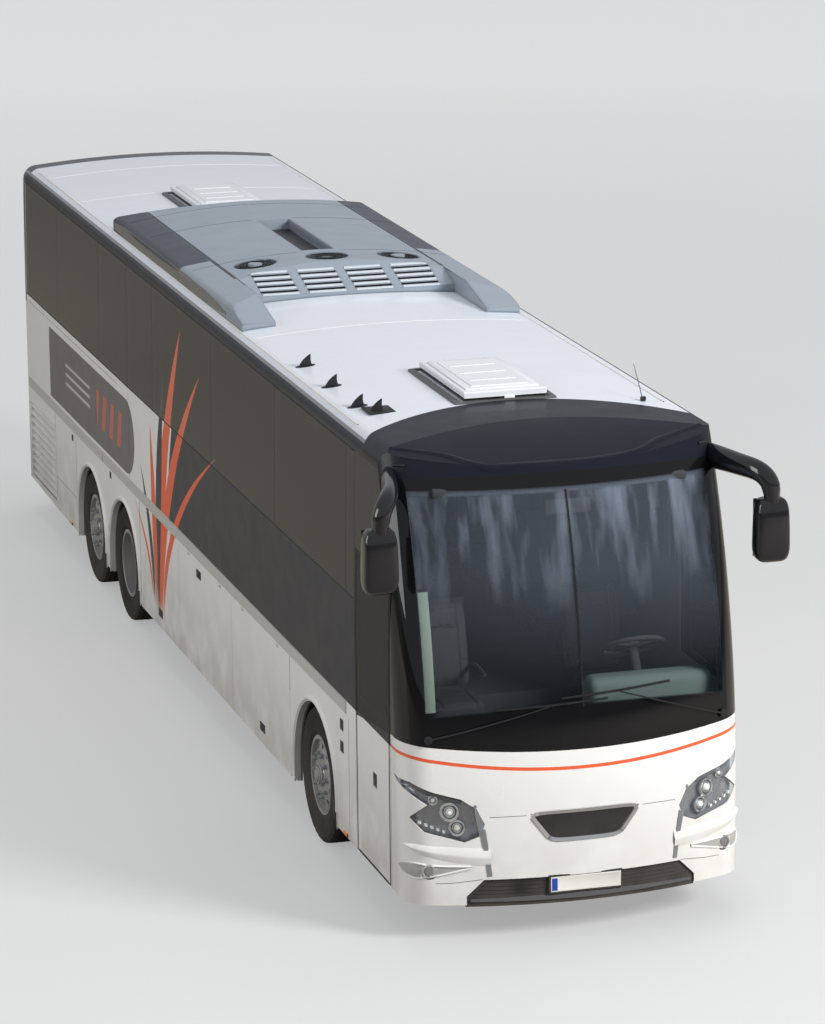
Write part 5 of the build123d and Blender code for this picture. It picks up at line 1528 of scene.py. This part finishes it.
@dataclass
class RoofUnit:
    """Fan guards, slats, dark side panels and seams of the air conditioning unit."""

    fan_radius: float = 0.18
    guard_rings: tuple[float, ...] = (0.055, 0.085, 0.115, 0.145)
    spokes: int = 12
    slat_xs: tuple[float, ...] = (-0.6, -0.2, 0.2, 0.6)
    slat_half: float = 0.155
    slat_stations: tuple[float, ...] = (6.1325, 6.2325, 6.3325, 6.4325, 6.5325)
    panel: Rows = (
        (5.75, 3.500, 0.02), (6.30, 3.510, 0.09), (7.40, 3.510, 0.115), (9.30, 3.510, 0.115),
        (9.95, 3.505, 0.06),
    )
    seam_half: float = 1.10
    seams: Rows = ((7.15, 0.16), (8.78, 0.16), (9.55, 0.0))
    long_seam: Rows = ((0.88, 6.2), (0.88, 9.8))

    def fans(self) -> None:
        """A round guard of rings and spokes, and a rim, over each fan."""
        guards, rims = [], []
        for x in FAN_XS:
            centre = Vector((x, at(FAN_STATION), unit_top(x) - 0.001))
            slope = Vector((2 * UNIT_DROP * x / UNIT_HALF**2, 0, 1)).normalized()
            low = centre - slope * 0.008
            guards += [ring(low, slope, radius, 0.0035) for radius in self.guard_rings]
            for i in range(self.spokes):
                angle = 2 * math.pi * i / self.spokes
                aim = BACK.cross(slope) * math.cos(angle) + BACK * math.sin(angle)
                ends = [centre - slope * 0.010 + aim * reach for reach in (0.05, 0.11, 0.176)]
                guards.append(tube(ends, [(0.003, 0.003)] * 3, 6))
            rims.append(ring(low, slope, self.fan_radius + 0.004, 0.008, 48))
        finished("fan_guards", guards, Shade.TRIM)
        finished("fan_rims", rims, Shade.UNIT, Slot.ROOF_UNIT)

    def build(self) -> None:
        """Builds the unit's details."""
        self.fans()
        skin = Skin("ac_unit")
        slats, sides, seams = [], [], []
        # Bright slats between the louvres: real slats, partly lightened as a painted highlight.
        for x in self.slat_xs:
            for y in map(at, self.slat_stations):
                seats = line(skin.over, [(x - self.slat_half, y), (x + self.slat_half, y)], 12)
                slats.append(skin.ribbon(seats, 0.040, 0.007, ridge=0.4))
        finished("unit_slats", slats, Shade.UNIT_SLAT, Slot.ROOF_UNIT)
        for sign in SIDES.values():
            for station, gap in self.seams:
                seats = line(skin.over, [(x, at(station)) for x in (-self.seam_half, self.seam_half)], 60)
                part = [s for s in seats if (s[0].x < 0) == (sign < 0) and abs(s[0].x) >= gap]
                seams.append(skin.ribbon(part, 0.007, 0.0010))
            course = curve(lambda station, z: skin.beside(sign, at(station), z), self.panel, 6)
            sides.append(skin.ribbon(*course, 0.003, ridge=0.94))
            ends = [(sign * x, at(station)) for x, station in self.long_seam]
            seams.append(skin.ribbon(line(skin.over, ends, 18), 0.010, 0.0012))
        finished("unit_side_panels", sides, Shade.UNIT_DARK, Slot.ROOF_UNIT)
        finished("unit_seams", seams, Shade.SEAM, Slot.ROOF_UNIT)


@dataclass
class Wheels:
    """Treaded tyres, nuts and hub caps; the section's rows are across the tyre and its radius."""

    height: float = 0.522
    outer_x: float = 1.102
    inner_x: float = 0.762
    nuts: int = 10
    nut_circle: float = 0.1675
    section: Rows = (
        (-0.108, 0.291), (-0.118, 0.300), (-0.130, 0.322), (-0.1395, 0.340), (-0.1365, 0.350),
        (-0.1435, 0.380), (-0.1462, 0.412), (-0.1455, 0.445), (-0.1430, 0.470), (-0.1455, 0.478),
        (-0.1400, 0.497), (-0.1290, 0.5135), (-0.1130, 0.5190), (-0.0840, 0.5205), (-0.0825, 0.508),
        (-0.0745, 0.508), (-0.0730, 0.5210), (-0.0330, 0.5215), (-0.0315, 0.508), (-0.0235, 0.508),
        (-0.0220, 0.5217),
    )
    sides: int = 120

    def tyre(self, x: float, y: float) -> Piece:
        """One tyre with grooves, shoulder blocks and fine cuts, at its X and Y."""
        outline = [*self.section, *[(-a, r) for a, r in reversed(self.section)]]

        def place(u: float, v: float) -> Place:
            """A point of the section at one angle."""
            across, radius = outline[round(v * (len(outline) - 1))]
            step = round(u * self.sides) % self.sides
            angle = 2 * math.pi * step / self.sides
            shoulder = 0.084 < abs(across) < 0.1405 and radius > 0.49
            sipe = abs(across) < 0.074 and radius > 0.519
            if shoulder and step % 3 == 0:
                radius -= 0.009
            if sipe and step % 4 == 0:
                radius -= 0.005
            return x + across, y + radius * math.sin(angle), self.height + radius * math.cos(angle)

        return loft(self.sides, len(outline) - 1, place)

    def face(self, name: str, sign: int, y: float, nut: Piece) -> None:
        """Nuts, hub cap and collars on one rim.

        Args:
            name: Axle and side.
            sign: The side's sign.
            y: The axle's Y.
            nut: A nut at the origin, pointing up.
        """
        rim, body, middle = Skin(f"rim_{name}"), f"{name}_wheel", self.height
        aim = Vector((sign, 0, 0))
        turn = upright(aim).to_matrix().to_4x4()
        nuts = []
        for i in range(self.nuts):
            angle = 2 * math.pi * (i + 0.5) / self.nuts
            across, rise = self.nut_circle * math.sin(angle), self.nut_circle * math.cos(angle)
            point, _ = rim.beside(sign, y + across, middle + rise)
            nuts.append(copied(nut, Matrix.Translation(point) @ turn))
        finished(f"nuts_{name}", nuts, Shade.SATIN, Slot.RIM, body, 30)
        hub = Vector((rim.beside(sign, y + 0.02, middle)[0].x, y, middle))
        lip = Vector((rim.beside(sign, y, middle + 0.278)[0].x, y, middle))
        caps = [
            disc(hub - aim * 0.002, aim, 0.068, 0.020, 0.006, 32),
            disc(hub + aim * 0.016, aim, 0.048, 0.012, 0.005, 32),
            ring(hub + aim * 0.002, aim, 0.082, 0.006, 40),
            ring(lip, aim, 0.282, 0.005, 64),
        ]
        finished(f"hub_{name}", caps, Shade.RIM, Slot.RIM, body, 40)

    def build(self) -> None:
        """Builds every wheel's details."""
        nut = disc((0, 0, 0), UP, 0.018, 0.030, 0.004, 6)
        washer = disc((0, 0, -0.002), UP, 0.023, 0.006, 0.002, 16)
        nut = joined([nut, washer, disc((0, 0, 0.028), UP, 0.010, 0.012, 0.002, 10)])
        for axle, station in AXLES.items():
            for side, sign in SIDES.items():
                name, y = f"{axle}_{side}", at(station)
                lines = (self.outer_x, self.inner_x) if axle == "drive" else (self.outer_x,)
                tyres = [self.tyre(sign * x, y) for x in lines]
                tread = finished(f"tread_{name}", tyres, Shade.TYRE, Slot.TYRE, f"{name}_wheel", 32)
                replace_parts(tread, f"tyre_{name}")
                self.face(name, sign, y, nut)
        bpy.data.objects.remove(nut)


@dataclass
class Flanks:
    """Handles, caps, seams, lamps and arch lips along both sides, and the door's seal and paddle.

    Handles and caps are placed by station and height, and a seam by those of its two ends.
    """

    flap_handles: tuple[tuple[str, float, float], ...] = (
        ("front", 4.32, 0.43),
        ("middle", 6.45, 1.15),
        ("rear", 7.94, 0.43),
    )
    caps: Rows = ((1.89, 1.15, 0.042), (1.89, 0.98, 0.042), (9.91, 1.22, 0.030), (11.60, 1.20, 0.030))
    seams: Rows = (
        (9.09, 1.385, 9.09, 2.17), (3.42, 0.99, 3.42, 1.26), (1.70, 0.42, 1.70, 1.25),
        (8.72, 0.42, 8.72, 1.25), (11.46, 0.42, 11.46, 1.25), (12.42, 0.42, 12.42, 1.25),
        (11.46, 0.64, 12.42, 0.64), (9.55, 2.145, 13.60, 2.145),
    )
    gaskets: Rows = ((1.54, 2.206, 13.68, 2.206), (1.54, 3.304, 13.68, 3.304))
    markers: tuple[float, ...] = (1.80, 11.75, 13.60)
    marker_height: float = 0.335
    arch_height: float = 0.47
    arch_radius: float = 0.640
    wall_x: float = 1.27
    door: Rows = ((0.60, 0.325), (1.468, 0.325), (1.468, 2.556), (0.60, 2.556))
    paddle: tuple[float, float] = (0.99, 0.99)

    def __post_init__(self) -> None:
        """Gathers the sides."""
        self.skin = Skin("side_wall", "front_door", "luggage_flap")
        self.glass = Skin("side_glass")

    def handles(self) -> None:
        """A recessed paddle on each luggage flap."""
        for side, sign in SIDES.items():
            out = Vector((sign, 0, 0))
            for name, station, height in self.flap_handles:
                point, _ = self.skin.beside(sign, at(station), height)
                bowl = rounded_box((0.008, 0.15, 0.07), point + out * 0.001, 0.003)
                inset(bowl, lambda face: face.area > 0.008, (0.006, -0.003))
                grip = rounded_box((0.008, 0.11, 0.030), point + out * 0.004 + UP * 0.012, 0.003)
                lock = disc(point + out * 0.003 - UP * 0.020, out, 0.009, 0.004, 0.001, 16)
                parts, body = [bowl, grip, lock], f"luggage_flap_{side}_{name}"
                finished(f"flap_handle_{side}_{name}", parts, Shade.TRIM, body=body)

    def arch(self, sign: int, y: float) -> list[Seat]:
        """Seats round one wheel arch, a little past its half circle."""
        seats = []
        for i in range(33):
            angle = math.pi * (i / 32 * 1.04 - 0.02)
            across, rise = self.arch_radius * math.cos(angle), self.arch_radius * math.sin(angle)
            seats.append(self.skin.near((sign * self.wall_x, y + across, self.arch_height + rise)))
        return seats

    def cap(self, sign: int, station: float, height: float, half: float) -> Piece:
        """One square cap with its sunk middle."""
        point, _ = self.skin.beside(sign, at(station), height)
        plate = rounded_box((0.006, half * 2, half * 2), point + Vector((sign * 0.001, 0, 0)), 0.0025)
        return inset(plate, lambda face: face.area > half * half * 2, (half * 0.25, -0.002))

    def door_trim(self) -> None:
        """Seal and paddle of the front door."""
        skin = Skin("front_door", "door_glass")
        seats = line(skin.beside, [(-1, at(station), z) for station, z in self.door], 14, loop=True)
        seal = skin.ribbon(seats, 0.020, 0.0025, loop=True)
        finished("door_seal", seal, Shade.RUBBER, body="door_leaf")
        y, z = at(self.paddle[0]), self.paddle[1]
        x = skin.beside(-1, y, z)[0].x
        grip = rounded_box((0.010, 0.090, 0.036), (-1.262, y, z + 0.015), 0.004)
        well = rounded_box((0.006, 0.104, 0.104), (x - 0.002, y, z), 0.002)
        finished("door_paddle", [grip, well], Shade.TRIM, body="door_leaf")

    def build(self) -> None:
        """Builds the sides' details."""
        self.handles()
        lips, joints, rubbers, caps, lamps = [], [], [], [], []
        for sign in SIDES.values():
            for station in AXLES.values():
                lips.append(self.skin.ribbon(self.arch(sign, at(station)), 0.034, 0.012, ridge=0.4))
            for y0, z0, y1, z1 in self.seams:
                seats = line(self.skin.beside, [(sign, at(y0), z0), (sign, at(y1), z1)], 10)
                joints.append(self.skin.ribbon(seats, 0.005, 0.0006))
            for y0, z0, y1, z1 in self.gaskets:
                seats = line(self.glass.beside, [(sign, at(y0), z0), (sign, at(y1), z1)], 40)
                rubbers.append(self.glass.ribbon(seats, 0.014, 0.002, ridge=0.5))
            caps += [self.cap(sign, *row) for row in self.caps]
            for station in self.markers:
                ends = [(sign, at(station) + reach, self.marker_height) for reach in (-0.05, 0.05)]
                lamps.append(self.skin.ribbon(line(self.skin.beside, ends, 4), 0.034, 0.012, ridge=0.6))
        finished("arch_lips", lips, Shade.WHITE, Slot.BODY, angle=50)
        finished("side_seams", joints, Shade.SEAM)
        finished("glass_rubbers", rubbers, Shade.RUBBER)
        finished("side_caps", caps, Shade.TRIM)
        finished("side_markers", lamps, Shade.AMBER, Slot.LAMP)
        self.door_trim()


@dataclass
class Tail:
    """Lamp lenses, bare plate, ribs, hinges and seams of the rear."""

    lamp_x: float = 0.97
    lamp_rows: tuple[tuple[float, Shade], ...] = (
        (1.345, Shade.RED),
        (1.225, Shade.AMBER),
        (1.105, Shade.RED),
        (0.985, Shade.LENS),
        (0.865, Shade.RED),
    )
    reflector: tuple[float, float] = (0.98, 0.56)
    stop_height: float = 3.28
    plate_height: float = 1.065
    ribs: int = 8
    rib_half: float = 0.62
    hinge: tuple[float, float] = (0.6, 1.43)
    seams: tuple[float, float] = (2.115, 0.610)
    seam_half: float = 1.2

    def build(self) -> None:
        """Builds the rear's details."""
        skin = Skin("rear_wall", "tail_lamps", "engine_flap", "rear_window")
        lenses = {Shade.RED: [], Shade.AMBER: [], Shade.LENS: []}
        rings, ribs = [], []
        for sign in SIDES.values():
            for height, shade in self.lamp_rows:
                point, _ = skin.behind(sign * self.lamp_x, height)
                rings.append(ring(point + BACK * 0.001, BACK, 0.050, 0.006))
                lenses[shade].append(ball(point, 0.046, (1, 0.30, 1)))
            point, _ = skin.behind(sign * self.reflector[0], self.reflector[1])
            lenses[Shade.RED].append(rounded_box((0.15, 0.010, 0.045), point, 0.004))
            point, _ = skin.behind(sign * self.hinge[0], self.hinge[1])
            ribs.append(rounded_box((0.10, 0.012, 0.035), point + BACK * 0.003, 0.004))
        stop, _ = skin.behind(0, self.stop_height)
        lenses[Shade.RED].append(rounded_box((0.42, 0.020, 0.034), stop, 0.008))
        finished("tail_lamp_rings", rings, Shade.CHROME, Slot.TAIL_LAMP)
        for shade, pieces in lenses.items():
            finished(f"tail_{shade.name.lower()}_lenses", pieces, shade, Slot.TAIL_LAMP)
        point, _ = skin.behind(0, self.plate_height)
        wide, high = PLATE
        face = rounded_box((wide, 0.006, high), point + BACK * 0.001, 0.0025)
        inset(face, lambda f: f.normal.y > 0.9 and f.area > 0.01, *PLATE_STEPS)
        finished("rear_plate", face, Shade.PLATE, body="engine_flap")
        for z in (0.69 + i * 0.030 for i in range(self.ribs)):
            seats = line(skin.behind, [(-self.rib_half, z), (self.rib_half, z)], 20)
            ribs.append(skin.ribbon(seats, 0.018, 0.006, ridge=0.4))
        finished("engine_flap_ribs", ribs, Shade.TRIM, body="engine_flap")
        seams = [line(skin.behind, [(-self.seam_half, z), (self.seam_half, z)], 40) for z in self.seams]
        finished("tail_seams", [skin.ribbon(seats, 0.006, 0.0008) for seats in seams], Shade.SEAM)


@dataclass
class Upholstery:
    """Sewn cushions: shaped, swollen under pressure, channelled and piped.

    Voxel is the remesh's size, cap the furthest that a point swells and keep the share of faces that
    stays afterwards.
    """

    voxel: float
    cap: float
    keep: float
    power: float = 0.34
    steps: int = 20
    pressure: float = 4.0
    sewn_deep: float = 0.010
    sewn_wide: float = 0.016

    def stuffed(self, piece: Piece) -> Piece:
        """Remeshes a closed form and swells it with a cloth simulation, which is then taken off."""
        modified(piece, "REMESH", mode="VOXEL", voxel_size=self.voxel)
        before = [point.co.copy() for point in piece.data.vertices]
        cloth = piece.modifiers.new("Cloth", "CLOTH")
        cloth.settings.use_pressure = True
        cloth.settings.uniform_pressure_force = self.pressure
        cloth.settings.effector_weights.gravity = 0.0
        cloth.point_cache.frame_start, cloth.point_cache.frame_end = 1, self.steps
        for step in range(1, self.steps + 1):
            bpy.context.scene.frame_set(step)
        swollen = piece.evaluated_get(bpy.context.evaluated_depsgraph_get()).data
        moves = [after.co - start for after, start in zip(swollen.vertices, before)]
        piece.modifiers.remove(cloth)
        bpy.context.scene.frame_set(1)
        for point, start, move in zip(piece.data.vertices, before, moves):
            point.co = start + (move if move.length < self.cap else move.normalized() * self.cap)
        log.info("cushion: %d points swelled by at most %.0f mm", len(moves), self.cap * 1000)
        return modified(piece, "DECIMATE", ratio=self.keep)

    def cushion(self, size: Place, lines: Sequence[float], cross: Sequence[float]) -> Piece:
        """A crowned cushion at the origin, its top facing up and its sides pulled in.

        Args:
            size: Its three sizes.
            lines: X of each sewn channel along it.
            cross: Y of each sewn channel across it.

        Returns:
            The cushion.
        """
        wide, long, high = ((part - self.cap) / 2 for part in size)

        def place(x: float, y: float, z: float) -> Place:
            """A point of a soft box with a crown and waisted sides."""
            crown = 1 + 0.16 * (1 - x * x) * (1 - y * y) if z > 0 else 1.0
            waist = 1 - 0.035 * (1 - y * y if abs(x) > abs(y) else 1 - x * x)
            return x * wide * waist, y * long * waist, z * high * crown

        piece = self.stuffed(loft(32, 16, softened(self.power, place)))
        for point in piece.data.vertices:
            if point.normal.z >= 0.3:
                x, y, _ = point.co
                gap = min([abs(x - row) for row in lines] + [abs(y - row) for row in cross])
                point.co.z -= self.sewn_deep * max(0.0, 1 - gap / self.sewn_wide)
        return piece

    def piping(self, piece: Piece, wide: float, long: float) -> Piece:
        """Piping round the top edge of a flat cushion."""
        mesh = piece.data
        corners = [point.co.copy() for point in mesh.vertices]
        tree = BVHTree.FromPolygons(corners, [list(face.vertices) for face in mesh.polygons])
        course = []
        for i in range(28):
            angle = 2 * math.pi * i / 28
            x = push(math.cos(angle), self.power) * wide * 0.46
            y = push(math.sin(angle), self.power) * long * 0.46
            found = tree.ray_cast((x, y, 0.5), -UP)[0]
            course.append(found or tree.find_nearest((x, y, 0.04))[0])
        course.append(course[0])
        return tube(course, [(0.004, 0.004)] * len(course), 5)


@dataclass
class Cabin:
    """Seats, racks, dashboard and small fittings behind the glass."""

    rows: int = 14
    first: float = 2.20
    pitch: float = 0.78
    places: tuple[float, float] = (0.535, 0.965)
    deck: float = 1.33
    plinth: tuple[float, float, float] = (0.64, 0.82, 0.07)
    crew: Rows = ((0.62, 1.18), (-0.61, 1.02))
    cockpit: float = 0.87
    crew_lift: float = 0.15
    tilt: float = math.radians(15.1)
    arm: Rows = ((0.50, 0.62), (0.40, 0.635), (0.26, 0.63), (0.17, 0.62))
    arm_halves: Rows = ((0.014, 0.016), (0.018, 0.018), (0.018, 0.018), (0.012, 0.014))
    rack: Rows = (
        (1.165, 3.02), (1.00, 2.955), (0.80, 2.965), (0.745, 3.02),
        (0.755, 3.09), (0.84, 3.13), (1.165, 3.15),
    )
    rack_middle: tuple[float, float] = (0.96, 3.05)
    rack_ends: tuple[float, float] = (2.15, 13.20)
    wheel_hub: tuple[float, float, float] = (0.62, 0.80, 1.88)
    wheel_tilt: float = math.radians(60)

    def seat_parts(self, sewer: Upholstery, wide: float) -> tuple[Piece, Piece]:
        """One seat, the middle of its front edge over the origin.

        Args:
            sewer: How cushions are made.
            wide: The seat's width.

        Returns:
            Its cloth and its hard parts.
        """
        lean = math.pi / 2 - self.tilt
        up = Vector((0, math.sin(self.tilt), math.cos(self.tilt)))
        ahead = Vector((0, -math.cos(self.tilt), math.sin(self.tilt)))
        middle = Vector((0, 0.475, 0.445)) + up * 0.325
        channels = (-wide * 0.28, wide * 0.28)
        cloth = []
        for size, lines, cross, centre, angle in (
            ((wide, 0.46, 0.125), channels, (0.07,), Vector((0, 0.235, 0.392)), 0.02),
            ((wide, 0.66, 0.105), channels, (-0.12,), middle, lean),
            ((wide * 0.66, 0.20, 0.050), (0.0,), (), middle + up * 0.205 + ahead * 0.050, lean),
        ):
            pad = sewer.cushion(size, lines, cross)
            whole = joined([pad, sewer.piping(pad, size[0], size[1])])
            cloth.append(moved(whole, Matrix.Translation(centre) @ Matrix.Rotation(angle, 4, "X")))
        shell = rounded_box((wide * 0.92, 0.60, 0.018), (0, 0, -0.056), 0.007, 2)
        moved(shell, Matrix.Translation(middle) @ Matrix.Rotation(lean, 4, "X"))
        pan = rounded_box((wide * 0.90, 0.40, 0.030), (0, 0.235, 0.325), 0.010, 2)
        hard = [shell, pan, rounded_box((0.050, 0.20, 0.30), (0, 0.26, 0.165), 0.012, 2)]
        for sign in (-1, 1):
            course = [Vector((sign * wide * 0.5, y, z)) for y, z in self.arm]
            hard.append(tube(course, self.arm_halves, 8))
        return joined(cloth), joined(hard)

    def seated(
        self,
        seat: tuple[Piece, Piece],
        spots: Sequence[Place],
        stands: list[Piece],
        name: str,
        shade: Shade,
    ) -> Piece:
        """Copies one seat to its places.

        Args:
            seat: Its cloth and its hard parts.
            spots: Where the copies stand.
            stands: What carries them.
            name: The pieces' name, with a gap for the kind of part.
            shade: Finish of the cloth.

        Returns:
            The cloth.
        """
        cloth, hard = ([copied(part, Matrix.Translation(spot)) for spot in spots] for part in seat)
        whole = finished(name.format("cloth"), cloth, shade, Slot.CLOTH, angle=50)
        finished(name.format("plastic"), hard + stands, Shade.DASH, Slot.INTERIOR, angle=50)
        return whole

    def passenger_seats(self) -> None:
        """Fourteen rows of pairs on each side, on their plinths."""
        seat = self.seat_parts(Upholstery(0.014, 0.010, 0.22), 0.405)
        stations = [self.first + row * self.pitch for row in range(self.rows)]
        low, high, rise = self.plinth
        long = self.rows * self.pitch - 0.06
        for side, sign in SIDES.items():
            centre = (sign * (low + high) / 2, at(self.first) + long / 2, self.deck + rise / 2 + 0.001)
            plinth = rounded_box((high - low, long, rise), centre, 0.012)
            spots = [(sign * x, y, self.deck + 0.035) for y in map(at, stations) for x in self.places]
            piece = self.seated(seat, spots, [plinth], "seat_{}_" + side, Shade.CLOTH)
            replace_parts(piece, f"seats_{side}")
        for part in seat:
            bpy.data.objects.remove(part)

    def crew_seats(self) -> None:
        """The driver's and the guide's seats on their pedestals."""
        seat = self.seat_parts(Upholstery(0.009, 0.012, 0.6), 0.465)
        spots = [(x, at(station), self.cockpit + self.crew_lift) for x, station in self.crew]
        places = [(x, y + 0.25, self.cockpit + 0.155) for x, y, _ in spots]
        feet = [rounded_box((0.26, 0.26, 0.31), place, 0.03) for place in places]
        piece = self.seated(seat, spots, feet, "crew_seat_{}", Shade.LEATHER)
        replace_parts(piece, "crew_seats")
        for part in seat:
            bpy.data.objects.remove(part)

    def racks(self) -> None:
        """Luggage racks over the seats, with their lamps."""
        count = len(self.rack)

        def place(u: float, v: float) -> Place:
            """A point of the rack's section at a share of its length; both ends close."""
            step = round(v * 3)
            x, z = self.rack_middle if step in (0, 3) else self.rack[round(u * count) % count]
            return x, at(self.rack_ends[step > 1]), z

        rack = modified(loft(count, 3, place), "BEVEL", width=0.012, segments=2, limit_method="ANGLE")
        finished("luggage_racks", mirrored(rack), Shade.LINING, Slot.INTERIOR)
        places = [(0.86, at(self.first + 0.20 + row * self.pitch), 2.957) for row in range(self.rows)]
        lamps = [rounded_box((0.09, 0.24, 0.012), place, 0.005) for place in places]
        finished("reading_panels", mirrored(joined(lamps)), Shade.DASH_PALE, Slot.INTERIOR)

    def dashboard(self) -> None:
        """Hood, pale partly as painted sunlight, shelf, pale covers, dials and the wheel's grip."""
        skin = Skin("dashboard")
        # The hood's pale teal is partly the plastic's colour and partly painted sunlight on the binnacle.
        hood = rounded_box((0.94, 0.22, 0.30), (0.62, at(0.47), 1.630), 0.07, 5)
        finished("dash_hood", hood, Shade.DASH_PALE, Slot.INTERIOR, angle=50)
        shelf = rounded_box((0.42, 0.20, 0.060), (-0.10, at(0.46), 1.520), 0.020)
        finished("dash_shelf", shelf, Shade.DASH, Slot.INTERIOR, angle=50)
        covers = []
        for ends in ((0.36, 1.10), (-0.82, -0.30)):
            seats = line(skin.over, [(x, at(0.36)) for x in ends], 12)
            covers.append(skin.ribbon(seats, 0.16, 0.010, ridge=0.9))
        finished("dash_covers", covers, Shade.DASH_PALE, Slot.INTERIOR)
        dials = [ring((x, at(0.571), 1.620), BACK, 0.040, 0.005) for x in (0.50, 0.62, 0.74)]
        finished("dash_dials", dials, Shade.SATIN, Slot.INTERIOR)
        axis = Vector((0, math.cos(self.wheel_tilt), math.sin(self.wheel_tilt)))
        x, station, z = self.wheel_hub
        hub = Vector((x, at(station), z))
        grip = [ring(hub, axis, 0.2255, 0.0165, 48), disc(hub - axis * 0.012, axis, 0.062, 0.034, 0.012)]
        finished("wheel_grip", grip, Shade.LEATHER, Slot.INTERIOR, angle=50)

    def fittings(self) -> None:
        """Pillar cover, the glass's joint, blind, inner mirror and the screen before the first row."""
        glass = Skin("windscreen")
        seats = line(glass.ahead, [(-1.08, 1.68), (-1.08, 2.52)], 8)
        pillar = tube([point - normal * 0.065 for point, normal in seats], [(0.045, 0.014)] * 9, 16)
        finished("pillar_cover", pillar, Shade.PILLAR, Slot.INTERIOR)
        joint = glass.ribbon(line(glass.ahead, [(0, 1.69), (0, 3.172)], 19), 0.016, 0.003)
        finished("screen_joint", joint, Shade.RUBBER)
        blind = rounded_box((1.9, 0.09, 0.075), (0, at(0.62), 3.17), 0.03, 4)
        mirror = rounded_box((0.34, 0.03, 0.11), (0.05, at(0.56), 3.02), 0.014, 4)
        finished("blind_box", [blind, mirror], Shade.DASH, Slot.INTERIOR, angle=50)
        screen = rounded_box((0.90, 0.025, 0.66), (-0.72, at(2.08), 1.665), 0.010)
        finished("entry_screen", screen, Shade.DASH, Slot.INTERIOR)

    def build(self) -> None:
        """Builds the cabin."""
        self.passenger_seats()
        self.crew_seats()
        self.racks()
        self.dashboard()
        self.fittings()


def main() -> None:
    """Builds the coach's looks in order."""
    front = (FrontFace, Headlamps, Wipers, Mirrors)
    roof = (RoofFront, RoofFittings, RoofUnit)
    for part in (Studio, Bodywork, *front, *roof, Wheels, Flanks, Tail, Cabin):
        part().build()


if __name__ == "__main__":
    main()
